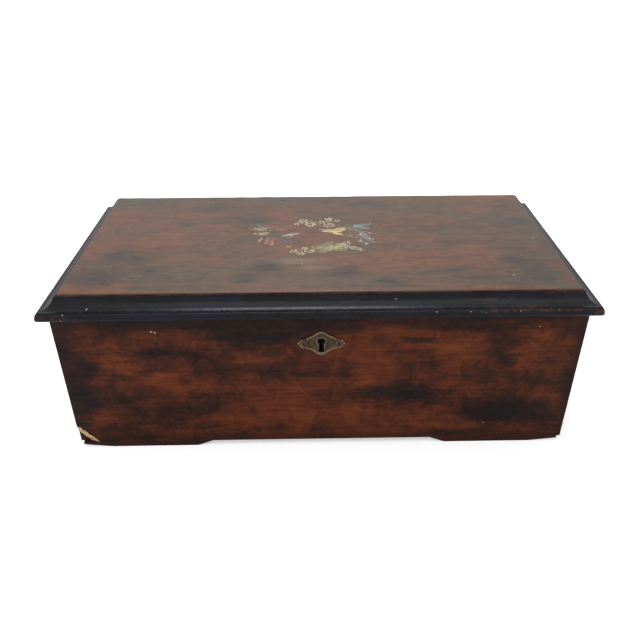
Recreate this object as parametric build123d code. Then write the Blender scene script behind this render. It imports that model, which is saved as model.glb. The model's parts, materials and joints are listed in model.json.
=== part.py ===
from build123d import *
import math
import os

os.makedirs("parts", exist_ok=True)

# A lever-wound cylinder music box of about 1880. All lengths are in millimetres and angles in degrees.
# The long axis of the case is X, its front faces -Y, and the soles of its feet stand at Z = 0.
# The origin lies under the middle of the whole box, mouldings and hinge knuckles included.

# Case
case_width = 470.0
case_depth = 230.0
board_thickness = 12.0
floor_thickness = 8.0
sole_height = 6.0
rim_height = 148.7
nose_overhang = 9.0
knuckle_projection = 3.0

# Feet
foot_length = 83.0
foot_outer_inset = 31.0
foot_ramp = 15.0
foot_depth = 26.0
foot_end_inset = 3.0
foot_end_rise = 3.2

# Lid
lid_joint_gap = 0.3
lid_thickness = 18.5
lid_panel_thickness = 12.0
lid_panel_inset = 7.4
lid_rail_width = 16.0
lid_panel_arris = 0.9
moulding_drop = 1.3
lid_opening = 100.0

# Hinges
hinge_x = 140.0
hinge_length = 50.0
hinge_knuckles = 5
hinge_knuckle_radius = 2.5
hinge_pin_radius = 1.1
hinge_leaf_reach = 13.0
hinge_leaf_thickness = 1.2
running_fit = 0.05
moving_gap = 0.3

# Wood screws
wood_screw_radius = 1.2
wood_screw_head_radius = 2.1
wood_screw_length = 9.0

# Inner walls
lever_bay_width = 50.0
control_bay_width = 35.0
partition_thickness = 7.0
partition_drop = 8.7

# Inner glass lid
glass_lid_drop = 14.0
glass_frame_thickness = 9.0
glass_frame_width = 14.0
glass_thickness = 2.4
glass_groove = 3.0
glass_bottom_lip = 3.0
glass_pivot_radius = 1.6
glass_pivot_wall_gap = 3.0
glass_side_gap = 0.6
glass_front_gap = 4.5
glass_lid_ledge = 3.5

# Lock and escutcheon
lock_width = 60.0
lock_depth = 50.2
lock_thickness = 8.7
lock_plate = 1.5
selvedge_width = 68.0
selvedge_thickness = 1.5
keyhole_drop = 27.2
keyhole_radius = 3.5
keyhole_slot_width = 4.6
keyhole_slot_length = 11.5
drill_pin_radius = 1.2
bolt_travel = 5.0
bolt_gap = 0.3
staple_x = 13.0
staple_width = 2.6
staple_depth = 4.4
staple_drop = 11.0
escutcheon_thickness = 1.4
escutcheon_drop = 2.0
escutcheon_nail_x = 15.6
escutcheon_nail_radius = 0.7
nail_end_gap = 0.5

# Bedplate and its bearers
bedplate_left_gap = 6.0
bedplate_right_gap = 9.0
bedplate_front_margin = 22.0
bedplate_back_margin = 8.3
bedplate_top = 38.0
bedplate_thickness = 6.0
bedplate_screw_radius = 2.0
bedplate_screw_length = 18.0
bearer_width = 22.0
bearer_inset = 16.0

# Cylinder
cylinder_radius = 26.0
cylinder_wall = 1.2
cylinder_left_gap = 7.0
cylinder_right_gap = 8.0
cylinder_axis_y = 5.0
cap_thickness = 3.0
arbor_radius = 4.0
airs = 6
air_step = 0.45
pin_radius = 0.3
pin_height = 0.9
pin_rows = 12
pins_in_row = 8

# Cocks that carry the arbors
cock_thickness = 6.0
cock_foot = 9.0
cock_foot_thickness = 4.0
cock_screw_radius = 1.5
barrel_cock_gap = 4.0
left_cock_gap = 3.0
right_cock_gap = 4.0

# Comb
tooth_pitch = 3.0
comb_end_margin = 8.0
tooth_slot = 0.5
tooth_thickness = 1.2
comb_thickness = 2.4
comb_depth = 44.0
comb_tip_gap = 1.2
longest_tooth = 33.0
shortest_tooth = 13.0
comb_screw_spacing = 24.0
comb_screw_radius = 1.5

# Spring barrel and its gearing to the cylinder
drive_module = 0.8
barrel_teeth = 75
drive_pinion_teeth = 25
barrel_wheel_width = 4.0
drive_pinion_width = 5.0
barrel_inset = 12.0
barrel_length = 40.0
barrel_radius = 27.0
barrel_plate_gap = 7.0
barrel_wall = 1.6
mainspring_thickness = 0.6
mainspring_turns = 5
mainspring_inner_radius = 7.0

# Governor train
great_teeth = 96
great_module = 0.6
great_wheel_inset = 4.5
great_wheel_width = 3.0
great_wheel_hub = 3.0
first_pinion_teeth = 12
first_wheel_teeth = 60
second_pinion_teeth = 10
train_module = 0.5
endless_wheel_teeth = 40
endless_starts = 2
endless_tip_radius = 2.5
endless_root_radius = 1.4
endless_pitch_radius = 2.0
train_wheel_width = 2.0
first_wheel_inset = 12.5
endless_wheel_inset = 18.5
endless_wheel_width = 2.5
train_arbor_radius = 1.6
train_pivot_radius = 1.0
first_axis_angle = -20.0
second_axis_angle = 10.0
governor_width = 26.5
governor_edge = 10.0
governor_plate = 2.0
governor_base = 3.0
governor_back_reach = 11.0
fly_radius = 7.0
fly_height = 16.0
fly_thickness = 0.6

# Winding lever
ratchet_wall_gap = 9.0
ratchet_width = 4.0
ratchet_teeth = 24
ratchet_radius = 14.0
ratchet_tooth_depth = 1.8
lever_thickness = 5.0
lever_gap = 1.0
lever_length = 100.0
lever_hub_radius = 11.0
lever_rest_angle = 22.0
lever_swing = 60.0
handle_radius = 8.5
handle_length = 36.0
pawl_stud_distance = 25.0

# Control levers
control_height = 86.3
control_thickness = 2.5
control_pivot_inset = 6.0
control_reach = 26.0
control_bracket_width = 14.5
start_lever_y = -30.0
change_lever_y = -62.0
control_swing = 10.0

# Tune card
card_width = 170.0
card_depth = 110.0
card_thickness = 0.5

# Places worked out from the sizes above
case_centre_y = (nose_overhang - knuckle_projection) / 2
case_left = -case_width / 2
case_right = case_width / 2
case_front = case_centre_y - case_depth / 2
case_back = case_centre_y + case_depth / 2
inner_left = case_left + board_thickness
inner_right = case_right - board_thickness
inner_front = case_front + board_thickness
inner_back = case_back - board_thickness
floor_top = sole_height + floor_thickness
lid_underside = rim_height + lid_joint_gap
lid_top = lid_underside + lid_thickness
lid_panel_underside = lid_top - lid_panel_thickness
panel_left = case_left + lid_panel_inset
panel_right = case_right - lid_panel_inset
panel_front = case_front + lid_panel_inset
moulding_width = lid_panel_inset + nose_overhang
moulding_height = lid_thickness - moulding_drop
moulding_top = lid_underside + moulding_height
hinge_axis_y = case_back + knuckle_projection - hinge_knuckle_radius
hinge_axis_z = (rim_height + lid_underside) / 2
left_wall_left = inner_left + lever_bay_width
left_wall_right = left_wall_left + partition_thickness
right_wall_right = inner_right - control_bay_width
right_wall_left = right_wall_right - partition_thickness
partition_top = rim_height - partition_drop
glass_lid_underside = partition_top - glass_lid_drop
keyhole_height = rim_height - keyhole_drop
keyhole_bottom = keyhole_height - keyhole_slot_length
escutcheon_height = keyhole_height - escutcheon_drop
bedplate_left = left_wall_right + bedplate_left_gap
bedplate_right = right_wall_left - bedplate_right_gap
bedplate_front = change_lever_y - bedplate_front_margin
barrel_left = bedplate_left + barrel_inset
barrel_right = barrel_left + barrel_length
governor_right = bedplate_right - governor_edge
governor_left = governor_right - governor_width
great_wheel_left = governor_left + great_wheel_inset
first_wheel_left = governor_left + first_wheel_inset
endless_wheel_left = governor_left + endless_wheel_inset
barrel_cock_left = barrel_left - barrel_cock_gap - cock_thickness
left_cock_left = barrel_right + left_cock_gap
right_cock_left = great_wheel_left + great_wheel_width + great_wheel_hub + right_cock_gap
cylinder_left = left_cock_left + cock_thickness + cylinder_left_gap
cylinder_right = great_wheel_left - cylinder_right_gap
cylinder_length = cylinder_right - cylinder_left
cylinder_axis_z = bedplate_top + barrel_radius + barrel_plate_gap
control_pivot_x = bedplate_right - control_pivot_inset
control_tab_x = right_wall_right + control_reach
ratchet_left = left_wall_left - ratchet_wall_gap - ratchet_width
barrel_axis_y = cylinder_axis_y + drive_module * (barrel_teeth + drive_pinion_teeth) / 2
barrel_axis_z = cylinder_axis_z
barrel_bore = barrel_radius - barrel_wall
mainspring_room = barrel_bore - moving_gap - mainspring_thickness - mainspring_inner_radius
mainspring_pitch = mainspring_room / (mainspring_turns - 0.25)
bedplate_under = bedplate_top - bedplate_thickness
first_offset = great_module * (great_teeth + first_pinion_teeth) / 2
first_y = cylinder_axis_y + first_offset * math.cos(math.radians(first_axis_angle))
first_z = cylinder_axis_z + first_offset * math.sin(math.radians(first_axis_angle))
second_offset = train_module * (first_wheel_teeth + second_pinion_teeth) / 2
second_y = first_y + second_offset * math.cos(math.radians(second_axis_angle))
second_z = first_z + second_offset * math.sin(math.radians(second_axis_angle))
endless_y = second_y + train_module * endless_wheel_teeth / 2 + endless_pitch_radius
endless_x = endless_wheel_left + endless_wheel_width / 2
endless_pitch = math.pi * train_module
governor_back = endless_y + governor_back_reach
bedplate_back = governor_back + bedplate_back_margin
lever_left = ratchet_left - lever_gap - lever_thickness
tooth_count = int((cylinder_length - comb_end_margin) / tooth_pitch)
comb_left = (cylinder_left + cylinder_right - tooth_count * tooth_pitch) / 2
comb_right = comb_left + tooth_count * tooth_pitch
comb_screw_count = round((comb_right - comb_left) / comb_screw_spacing)
comb_tip_y = cylinder_axis_y - cylinder_radius - comb_tip_gap
comb_back_y = comb_tip_y - comb_depth
comb_underside = cylinder_axis_z - comb_thickness + tooth_thickness / 2
glass_left = left_wall_right + glass_side_gap
glass_right = right_wall_left - glass_side_gap
glass_front = inner_front + glass_front_gap
glass_bottom = glass_lid_underside + glass_bottom_lip
glass_axis_y = inner_back - glass_pivot_wall_gap
glass_axis_z = glass_lid_underside + glass_frame_thickness - glass_pivot_radius


def block(x0, x1, y0, y1, z0, z1):
    # A box between two opposite corners.
    return Pos((x0 + x1) / 2, (y0 + y1) / 2, (z0 + z1) / 2) * Box(x1 - x0, y1 - y0, z1 - z0)


def rod_x(radius, x0, x1, y, z):
    return Pos((x0 + x1) / 2, y, z) * Rot(0, 90, 0) * Cylinder(radius, x1 - x0)


def rod_y(radius, y0, y1, x, z):
    return Pos(x, (y0 + y1) / 2, z) * Rot(90, 0, 0) * Cylinder(radius, y1 - y0)


def rod_z(radius, z0, z1, x, y):
    return Pos(x, y, (z0 + z1) / 2) * Cylinder(radius, z1 - z0)


def turned(shape, angle, y, z):
    # The shape turned about the X-wise line through (y, z), from +Y towards +Z.
    return Pos(0, y, z) * Rot(angle, 0, 0) * Pos(0, -y, -z) * shape


def prism_x(points, x0, x1):
    # A (y, z) outline carried along X.
    face = make_face(Polyline(*[(x0, y, z) for y, z in points], close=True))
    return extrude(face, amount=x1 - x0, dir=(1, 0, 0))


def prism_z(points, z0, z1):
    # An (x, y) outline carried along Z.
    face = make_face(Polyline(*[(x, y, z0) for x, y in points], close=True))
    return extrude(face, amount=z1 - z0, dir=(0, 0, 1))


def group(*shapes):
    # Separate solids of one kind, kept as one sub-part.
    return Compound([solid for shape in shapes for solid in shape.solids()])


def save(shape, name):
    export_step(shape, f"parts/{name}.step")


def wheel_outline(x, y, z, teeth, tip_radius, root_radius, phase, tip_share, root_share):
    # A toothed outline in the plane X = x; phase is the angle of one tooth's middle, from +Y towards +Z.
    step = 360.0 / teeth
    points = []
    corners = ((root_radius, -root_share), (tip_radius, -tip_share),
               (tip_radius, tip_share), (root_radius, root_share))
    for tooth in range(teeth):
        for radius, share in corners:
            angle = math.radians(phase + step * (tooth + share / 2))
            points.append((x, y + radius * math.cos(angle), z + radius * math.sin(angle)))
    return make_face(Polyline(*points, close=True))


def gear(x0, width, y, z, teeth, module, phase, addendum=0.75, tip_share=0.2, root_share=0.58):
    # A spur gear whose tooth phase is given; teeth are thinned a little for backlash.
    pitch_radius = teeth * module / 2
    face = wheel_outline(x0, y, z, teeth, pitch_radius + addendum * module, pitch_radius - 1.15 * module,
                         phase, tip_share, root_share)
    return extrude(face, amount=width, dir=(1, 0, 0))


def gap_phase(direction, teeth):
    # The phase that puts the middle of a tooth gap in the given direction.
    return direction + 180.0 / teeth


def countersunk_screw(x, y, z, up=1):
    # A wood screw whose flush head ends at height z; up is 1 where it is driven from above.
    head_length = hinge_leaf_thickness
    head = rod_z(wood_screw_head_radius, min(z, z - up * head_length), max(z, z - up * head_length), x, y)
    tip = z - up * wood_screw_length
    return head + rod_z(wood_screw_radius, min(z, tip), max(z, tip), x, y)


def countersunk_hole(x, y, z, up=1):
    # The room that the screw above fills, with its clearance.
    head_end = z - up * hinge_leaf_thickness
    tip = z - up * (wood_screw_length + moving_gap)
    head = rod_z(wood_screw_head_radius + running_fit, min(z, head_end), max(z, head_end), x, y)
    return head + rod_z(wood_screw_radius + running_fit, min(z, tip), max(z, tip), x, y)


def cheese_screw(x, y, z, head_radius, head_height, shank_radius, length):
    # A machine screw with a slotted cheese head that sits on height z.
    slot = block(x - head_radius, x + head_radius, y - 0.3, y + 0.3, z + head_height - 0.6, z + head_height)
    return rod_z(head_radius, z, z + head_height, x, y) - slot + rod_z(shank_radius, z - length, z, x, y)


def screw_bore(x, y, z, shank_radius, length):
    return rod_z(shank_radius + running_fit, z - length - moving_gap, z, x, y)


# Places of the hinge screws along one leaf, and of the hinges
hinge_middles = (-hinge_x, hinge_x)
hinge_screw_steps = (-18.0, 0.0, 18.0)
hinge_screw_y = case_back - 0.65 * hinge_leaf_reach
hinge_screw_places = [(middle + step, hinge_screw_y)
                      for middle in hinge_middles for step in hinge_screw_steps]


def hinge_leaf(middle, below):
    # One butt hinge leaf with its knuckles; below is True for the leaf on the case.
    half = hinge_length / 2
    if below:
        z0, z1 = rim_height - hinge_leaf_thickness, rim_height
    else:
        z0, z1 = lid_underside, lid_underside + hinge_leaf_thickness
    leaf = block(middle - half, middle + half, case_back - hinge_leaf_reach, hinge_axis_y, z0, z1)
    step = hinge_length / hinge_knuckles
    for knuckle in range(hinge_knuckles):
        start = middle - half + knuckle * step
        mine = (knuckle % 2 == 0) == below
        if mine:
            barrel = rod_x(hinge_knuckle_radius, start + moving_gap / 2, start + step - moving_gap / 2,
                           hinge_axis_y, hinge_axis_z)
            leaf = leaf + barrel
    for knuckle in range(hinge_knuckles):
        start = middle - half + knuckle * step
        mine = (knuckle % 2 == 0) == below
        if not mine:
            leaf = leaf - rod_x(hinge_knuckle_radius + moving_gap, start - moving_gap / 2,
                                start + step + moving_gap / 2, hinge_axis_y, hinge_axis_z)
    bore = hinge_pin_radius if below else hinge_pin_radius + running_fit
    leaf = leaf - rod_x(bore, middle - half - 1, middle + half + 1, hinge_axis_y, hinge_axis_z)
    for x, y in hinge_screw_places:
        if abs(x - middle) < half:
            leaf = leaf - countersunk_hole(x, y, z1 if below else z0, 1 if below else -1)
    return leaf


def hinge_room(below):
    # What is cut from the wood for the leaves, their knuckles and their screws.
    room = []
    for middle in hinge_middles:
        half = hinge_length / 2
        room.append(rod_x(hinge_knuckle_radius + moving_gap, middle - half - moving_gap,
                          middle + half + moving_gap, hinge_axis_y, hinge_axis_z))
        if below:
            z0, z1 = rim_height - hinge_leaf_thickness, rim_height + 1
        else:
            z0, z1 = lid_underside - 1, lid_underside + hinge_leaf_thickness
        room.append(block(middle - half, middle + half, case_back - hinge_leaf_reach, case_back + 1, z0, z1))
    for x, y in hinge_screw_places:
        z = rim_height if below else lid_underside
        room.append(countersunk_hole(x, y, z, 1 if below else -1))
    return room


def keyhole_room(y0, y1, radius, slot_width):
    # The keyhole's round head and its slot, through from y0 to y1.
    slot = block(-slot_width / 2, slot_width / 2, y0, y1, keyhole_bottom, keyhole_height)
    return rod_y(radius, y0, y1, 0, keyhole_height) + slot


lock_back = inner_front - moving_gap
lock_front = lock_back - lock_thickness
lock_top = rim_height
lock_bottom = lock_top - lock_depth
lock_half = lock_width / 2
selvedge_half = selvedge_width / 2
selvedge_under = lock_top - selvedge_thickness
escutcheon_nail_length = lock_front - case_front - nail_end_gap


def front_board():
    board = block(case_left, case_right, case_front, inner_front, sole_height, rim_height)
    board -= block(-lock_half, lock_half, lock_front, inner_front + 1, lock_bottom, rim_height + 1)
    board -= block(-selvedge_half, selvedge_half, lock_front - 1.5, inner_front + 1,
                   selvedge_under, rim_height + 1)
    board -= keyhole_room(case_front - 1, lock_front + 1, keyhole_radius, keyhole_slot_width)
    for side in (-1, 1):
        board -= rod_y(escutcheon_nail_radius + running_fit, case_front - 1,
                       case_front + escutcheon_nail_length + moving_gap / 2,
                       side * escutcheon_nail_x, escutcheon_height)
    return board


def back_board():
    board = block(case_left, case_right, inner_back, case_back, sole_height, rim_height)
    for room in hinge_room(True):
        board -= room
    return board


def side_board(side):
    x0, x1 = (case_left, inner_left) if side < 0 else (inner_right, case_right)
    return block(x0, x1, inner_front, inner_back, sole_height, rim_height)


def bottom_board():
    return block(inner_left, inner_right, inner_front, inner_back, sole_height, floor_top)


def foot(side, front):
    # A low block with a short ramp towards the middle and a slight rise at its outer end.
    outer = case_right - foot_outer_inset
    sole_inner = outer - foot_length
    end = case_right - foot_end_inset
    points = [(sole_inner - foot_ramp, sole_height), (sole_inner, 0), (outer, 0), (end, foot_end_rise),
              (end, sole_height)]
    y0 = case_front if front else case_back - foot_depth
    face = make_face(Polyline(*[(side * x, y0, z) for x, z in points], close=True))
    return extrude(face, amount=foot_depth, dir=(0, 1, 0))


def feet():
    return group(*[foot(side, front) for side in (-1, 1) for front in (True, False)])


def moulding_outline(u, base):
    # The lid's edge moulding: a low nose with a nearly upright face, a small quirk, a deep cove, and a flat
    # against the panel. u is measured outwards from the panel's edge.
    w = moulding_width
    top = base + moulding_height
    nose_z = base + 2.4
    quirk_z = base + 7.0
    return [
        Line(u(0, base), u(w - 1.5, base)),
        ThreePointArc(u(w - 1.5, base), u(w - 0.4, base + 1.0), u(w, nose_z)),
        ThreePointArc(u(w, nose_z), u(w - 0.48, base + 4.9), u(w - 1.8, quirk_z)),
        Line(u(w - 1.8, quirk_z), u(w - 2.4, quirk_z + 0.1)),
        Line(u(w - 2.4, quirk_z + 0.1), u(w - 2.6, quirk_z + 1.0)),
        ThreePointArc(u(w - 2.6, quirk_z + 1.0), u(5.1, base + 10.75), u(1.6, top)),
        Line(u(1.6, top), u(0, top)),
        Line(u(0, top), u(0, base)),
    ]


def moulding_run(side):
    # One length of moulding with mitred corners: side is 0 at the front, -1 at the left, 1 at the right.
    outer_x = case_right + nose_overhang
    outer_y = case_front - nose_overhang
    if side == 0:
        face = make_face(moulding_outline(lambda u, z: (-outer_x, panel_front - u, z), lid_underside))
        run = extrude(face, amount=2 * outer_x, dir=(1, 0, 0))
        plan = [(-outer_x, outer_y), (outer_x, outer_y),
                (panel_right, panel_front), (panel_left, panel_front)]
    else:
        edge = panel_right * side
        face = make_face(moulding_outline(lambda u, z: (edge + side * u, outer_y, z), lid_underside))
        run = extrude(face, amount=case_back - outer_y, dir=(0, 1, 0))
        plan = [(side * outer_x, outer_y), (side * outer_x, case_back),
                (edge, case_back), (edge, panel_front)]
    return run & prism_z(plan, lid_underside - 1, moulding_top + 1)


strike_under = lid_underside
strike_top = lid_underside + selvedge_thickness


def strike_room():
    return block(-selvedge_half, selvedge_half, lock_front - 1.5, lock_back, strike_under - 1, strike_top)


def front_moulding():
    return moulding_run(0) - strike_room()


def side_mouldings():
    return group(moulding_run(-1), moulding_run(1))


def lid_panel():
    panel = block(panel_left, panel_right, panel_front, case_back, lid_panel_underside, lid_top)
    arris = panel.faces().sort_by(Axis.Z)[-1].edges()
    panel = fillet(arris, lid_panel_arris)
    for x, y in hinge_screw_places:
        panel -= countersunk_hole(x, y, lid_underside, -1)
    return panel


def lid_frame():
    # The glued frame of rails under the panel.
    frame = block(panel_left, panel_right, panel_front, case_back, lid_underside, lid_panel_underside)
    frame -= block(panel_left + lid_rail_width, panel_right - lid_rail_width, panel_front + lid_rail_width,
                   case_back - lid_rail_width, lid_underside - 1, lid_panel_underside + 1)
    frame -= strike_room()
    for room in hinge_room(False):
        frame -= room
    return frame


def strike_plate():
    # The plate in the lid's underside, and the two staples under it that the bolt's hooks enter.
    plate = block(-selvedge_half, selvedge_half, lock_front - 1.5, lock_back, strike_under, strike_top)
    middle_y = (lock_front + lock_back) / 2
    low = strike_under - staple_drop
    staples = []
    for side in (-1, 1):
        x = side * staple_x
        staple = block(x - staple_width / 2, x + staple_width / 2, middle_y - staple_depth / 2,
                       middle_y + staple_depth / 2, low, strike_under)
        staples.append(staple - block(x - staple_width, x + staple_width, middle_y - 1.35, middle_y + 1.35,
                                      low + 1.6, low + 6.6))
    return group(plate, *staples)


def lock_case():
    # The lock's box: face plate with the keyhole, cap, and the selvedge flush with the rim.
    case = block(-lock_half, lock_half, lock_front, lock_back, lock_bottom, lock_top)
    case += block(-selvedge_half, selvedge_half, lock_front - 1.5, lock_back, selvedge_under, lock_top)
    case -= block(-lock_half + lock_plate, lock_half - lock_plate, lock_front + lock_plate,
                  lock_back - lock_plate, lock_bottom + lock_plate, selvedge_under)
    middle_y = (lock_front + lock_back) / 2
    clear = 0.6
    for side in (-1, 1):
        x = side * staple_x
        case -= block(x - staple_width / 2 - clear, x + staple_width / 2 + clear,
                      middle_y - staple_depth / 2 - clear, middle_y + staple_depth / 2 + clear,
                      selvedge_under - 1, lock_top + 1)
    case -= keyhole_room(lock_front - 1, lock_front + lock_plate + 0.1, keyhole_radius, 2.2)
    case += rod_y(drill_pin_radius, lock_front + 0.5, lock_back - lock_plate / 2, 0, keyhole_height)
    return case


def lock_bolt():
    # A sliding bolt with two hooks that face +X; it is shown drawn back.
    y0 = lock_front + lock_plate + bolt_gap
    y1 = lock_back - lock_plate - bolt_gap
    middle_y = (lock_front + lock_back) / 2
    bar_top = strike_under - staple_drop - 2.0
    bar_bottom = bar_top - 10.0
    hook_z0 = strike_under - staple_drop + 2.6
    hook_z1 = hook_z0 + 3.0
    reach = lock_half - lock_plate - bolt_travel - 2 * bolt_gap
    bolt = block(-reach - 1, reach, y0, y1, bar_bottom, bar_top)
    for side in (-1, 1):
        tip = side * staple_x - staple_width / 2 - 2 * bolt_gap
        back = tip - bolt_travel - 3.5
        bolt += block(back, back + 3.0, middle_y - 1.0, middle_y + 1.0, bar_top - 0.5, hook_z1)
        bolt += block(back, tip, middle_y - 1.0, middle_y + 1.0, hook_z0, hook_z1)
    tumbler_notch = block(-4, 4, y0 - 1, y1 + 1, bar_bottom - 1, bar_bottom + 3)
    return bolt - tumbler_notch


def escutcheon():
    # A cartouche: a rounded top, stepped shoulders, a small lobe at each pointed end, and a tapered foot.
    half = [(3.4, 11.9), (6.2, 9.4), (9.8, 7.6), (13.2, 5.2), (15.6, 3.7), (18.2, 4.4), (20.2, 2.3), (22.0, 0.0),
            (19.6, -3.4), (16.6, -5.2), (13.4, -5.6), (9.8, -6.9), (6.4, -9.3), (3.0, -12.0)]
    left = [(-x, y) for x, y in reversed(half)]
    outline = make_face(Polyline((0, 12.9), *half, (0, -13.2), *left, close=True))
    plate = extrude(outline, amount=escutcheon_thickness)
    plate = Pos(0, case_front, escutcheon_height) * Rot(90, 0, 0) * plate
    front = case_front - escutcheon_thickness
    plate -= keyhole_room(front - 1, case_front + 1, keyhole_radius, keyhole_slot_width)
    for side in (-1, 1):
        plate -= rod_y(escutcheon_nail_radius + running_fit, front - 1, case_front + 1,
                       side * escutcheon_nail_x, escutcheon_height)
    return plate


def escutcheon_nails():
    front = case_front - escutcheon_thickness
    nails = []
    for side in (-1, 1):
        x = side * escutcheon_nail_x
        tip = case_front + escutcheon_nail_length
        head = rod_y(2 * escutcheon_nail_radius, front - 0.5, front, x, escutcheon_height)
        shank = rod_y(escutcheon_nail_radius, front, tip, x, escutcheon_height)
        nails.append(head + shank)
    return group(*nails)


def case_hinge_leaves():
    return group(*[hinge_leaf(middle, True) for middle in hinge_middles])


def lid_hinge_leaves():
    return group(*[hinge_leaf(middle, False) for middle in hinge_middles])


def hinge_pins():
    half = hinge_length / 2
    return group(*[rod_x(hinge_pin_radius, middle - half, middle + half, hinge_axis_y, hinge_axis_z)
                   for middle in hinge_middles])


def hinge_screws(below):
    z = rim_height if below else lid_underside
    return group(*[countersunk_screw(x, y, z, 1 if below else -1) for x, y in hinge_screw_places])


def partition(left):
    # An inner wall, rebated along its top to carry the glass lid.
    if left:
        x0, x1 = left_wall_left, left_wall_right
        ledge = block(x1 - glass_lid_ledge + glass_side_gap, x1 + 1, inner_front - 1, inner_back + 1,
                      glass_lid_underside - moving_gap, partition_top + 1)
    else:
        x0, x1 = right_wall_left, right_wall_right
        ledge = block(x0 - 1, x0 + glass_lid_ledge - glass_side_gap, inner_front - 1, inner_back + 1,
                      glass_lid_underside - moving_gap, partition_top + 1)
    return block(x0, x1, inner_front, inner_back, floor_top, partition_top), ledge


def left_partition():
    wall, ledge = partition(True)
    wall -= ledge
    wall -= rod_x(arbor_radius + 2.0, left_wall_left - 1, left_wall_right + 1, barrel_axis_y, barrel_axis_z)
    wall -= glass_pivot_bore()
    for y, z in click_plate_screw_places():
        wall -= rod_x(1.2 + running_fit, left_wall_left - 1, left_wall_left + 5.3, y, z)
    return wall


def right_partition():
    wall, ledge = partition(False)
    wall -= ledge
    for y in (start_lever_y, change_lever_y):
        wall -= lever_slot(y, right_wall_left - 1, right_wall_right + 1)
    wall -= glass_pivot_bore()
    return wall


def lever_slot(y, x0, x1):
    return block(x0, x1, y - 9.5, y + 9.5, control_height - 2.0, control_height + control_thickness + 2.0)


def slot_plate():
    # The brass plate round the two lever slots, on the control side of the inner wall.
    plate = block(right_wall_right, right_wall_right + 1.5, change_lever_y - 16, start_lever_y + 16,
                  control_height - 10, control_height + 12)
    for y in (start_lever_y, change_lever_y):
        plate -= lever_slot(y, right_wall_right - 1, right_wall_right + 3)
    return plate


def glass_pivot_bore():
    reach = glass_lid_ledge
    return rod_x(glass_pivot_radius + running_fit, glass_left - reach, glass_right + reach,
                 glass_axis_y, glass_axis_z)


def glass_frame():
    # The frame of the inner lid; the glass sits in a groove round its inside.
    top = glass_lid_underside + glass_frame_thickness
    w = glass_frame_width
    frame = block(glass_left, glass_right, glass_front, glass_axis_y, glass_lid_underside, top)
    frame += rod_x(glass_pivot_radius * 1.5, glass_left, glass_right, glass_axis_y, glass_axis_z)
    frame -= block(glass_left + w, glass_right - w, glass_front + w, glass_axis_y - w,
                   glass_lid_underside - 1, top + 1)
    groove = w - glass_groove
    frame -= block(glass_left + groove, glass_right - groove, glass_front + groove, glass_axis_y - groove,
                   glass_bottom, glass_bottom + glass_thickness)
    frame -= rod_x(glass_pivot_radius, glass_left - 1, glass_left + 12, glass_axis_y, glass_axis_z)
    frame -= rod_x(glass_pivot_radius, glass_right - 12, glass_right + 1, glass_axis_y, glass_axis_z)
    return frame


def glass_pane():
    w = glass_frame_width - glass_groove + moving_gap
    return block(glass_left + w, glass_right - w, glass_front + w, glass_axis_y - w,
                 glass_bottom, glass_bottom + glass_thickness)


def glass_pivots():
    reach = glass_lid_ledge - 1.0
    left = rod_x(glass_pivot_radius, glass_left - reach, glass_left + 12, glass_axis_y, glass_axis_z)
    right = rod_x(glass_pivot_radius, glass_right - 12, glass_right + reach, glass_axis_y, glass_axis_z)
    return group(left, right)


def glass_pull():
    # The small turned knob by which the glass lid is raised.
    top = glass_lid_underside + glass_frame_thickness
    y = glass_front + glass_frame_width / 2
    knob = rod_z(2.0, top, top + 3.0, 0, y)
    return knob + Pos(0, y, top + 4.2) * Sphere(3.2) - block(-9, 9, y - 9, y + 9, top - 9, top)


bedplate_screw_places = [(x, y) for x in (bedplate_left + bearer_inset, bedplate_right - bearer_inset)
                         for y in (bedplate_front + 8, bedplate_back - 4)]


def cock(x0, x1, axes, foot_side):
    # An upright bearing plate on the bedplate, rounded over each axis, with a foot to one side.
    low = min(axes)
    high = max(axes)
    top = cylinder_axis_z
    shape = block(x0, x1, low - 12, high + 12, bedplate_top, top)
    if high > low:
        shape += block(x0, x1, low, high, top - 1, top + 6)
    for y in axes:
        shape += rod_x(12, x0, x1, y, top)
        shape -= rod_x(arbor_radius + running_fit, x0 - 1, x1 + 1, y, top)
    foot_x0, foot_x1 = (x1, x1 + cock_foot) if foot_side > 0 else (x0 - cock_foot, x0)
    shape += block(foot_x0, foot_x1, low - 12, high + 12, bedplate_top, bedplate_top + cock_foot_thickness)
    for x, y, z in cock_screw_places(x0, x1, axes, foot_side):
        shape -= rod_z(cock_screw_radius + running_fit, bedplate_top - 1, bedplate_top + 9, x, y)
    return shape


def cock_screw_places(x0, x1, axes, foot_side):
    x = x1 + cock_foot / 2 if foot_side > 0 else x0 - cock_foot / 2
    return [(x, y, bedplate_top + cock_foot_thickness) for y in (min(axes) - 8, max(axes) + 8)]


cocks = [
    (barrel_cock_left, barrel_cock_left + cock_thickness, (barrel_axis_y,), 1),
    (left_cock_left, left_cock_left + cock_thickness, (cylinder_axis_y, barrel_axis_y), 1),
    (right_cock_left, right_cock_left + cock_thickness, (cylinder_axis_y,), 1),
]


def bedplate():
    plate = block(bedplate_left, bedplate_right, bedplate_front, bedplate_back, bedplate_under, bedplate_top)
    plate = fillet(plate.edges().filter_by(Axis.Z), 8)
    plate = chamfer(plate.faces().sort_by(Axis.Z)[-1].edges(), 1.2)
    for x, y, z, radius, length in movement_screw_places():
        plate -= screw_bore(x, y, z, radius, length)
    return plate


def bearer(side):
    x = bedplate_left + bearer_inset if side < 0 else bedplate_right - bearer_inset
    half = bearer_width / 2
    rest = block(x - half, x + half, inner_front, inner_back, floor_top, bedplate_under)
    for screw_x, y in bedplate_screw_places:
        if abs(screw_x - x) < half:
            rest -= screw_bore(screw_x, y, bedplate_top, bedplate_screw_radius, bedplate_screw_length)
    return rest


def bearers():
    return group(bearer(-1), bearer(1))


comb_base_front = comb_back_y + 1.0
comb_base_back = comb_base_front + 22.0
comb_screw_y = comb_back_y + 9.0
comb_flange = 5.0


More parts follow.
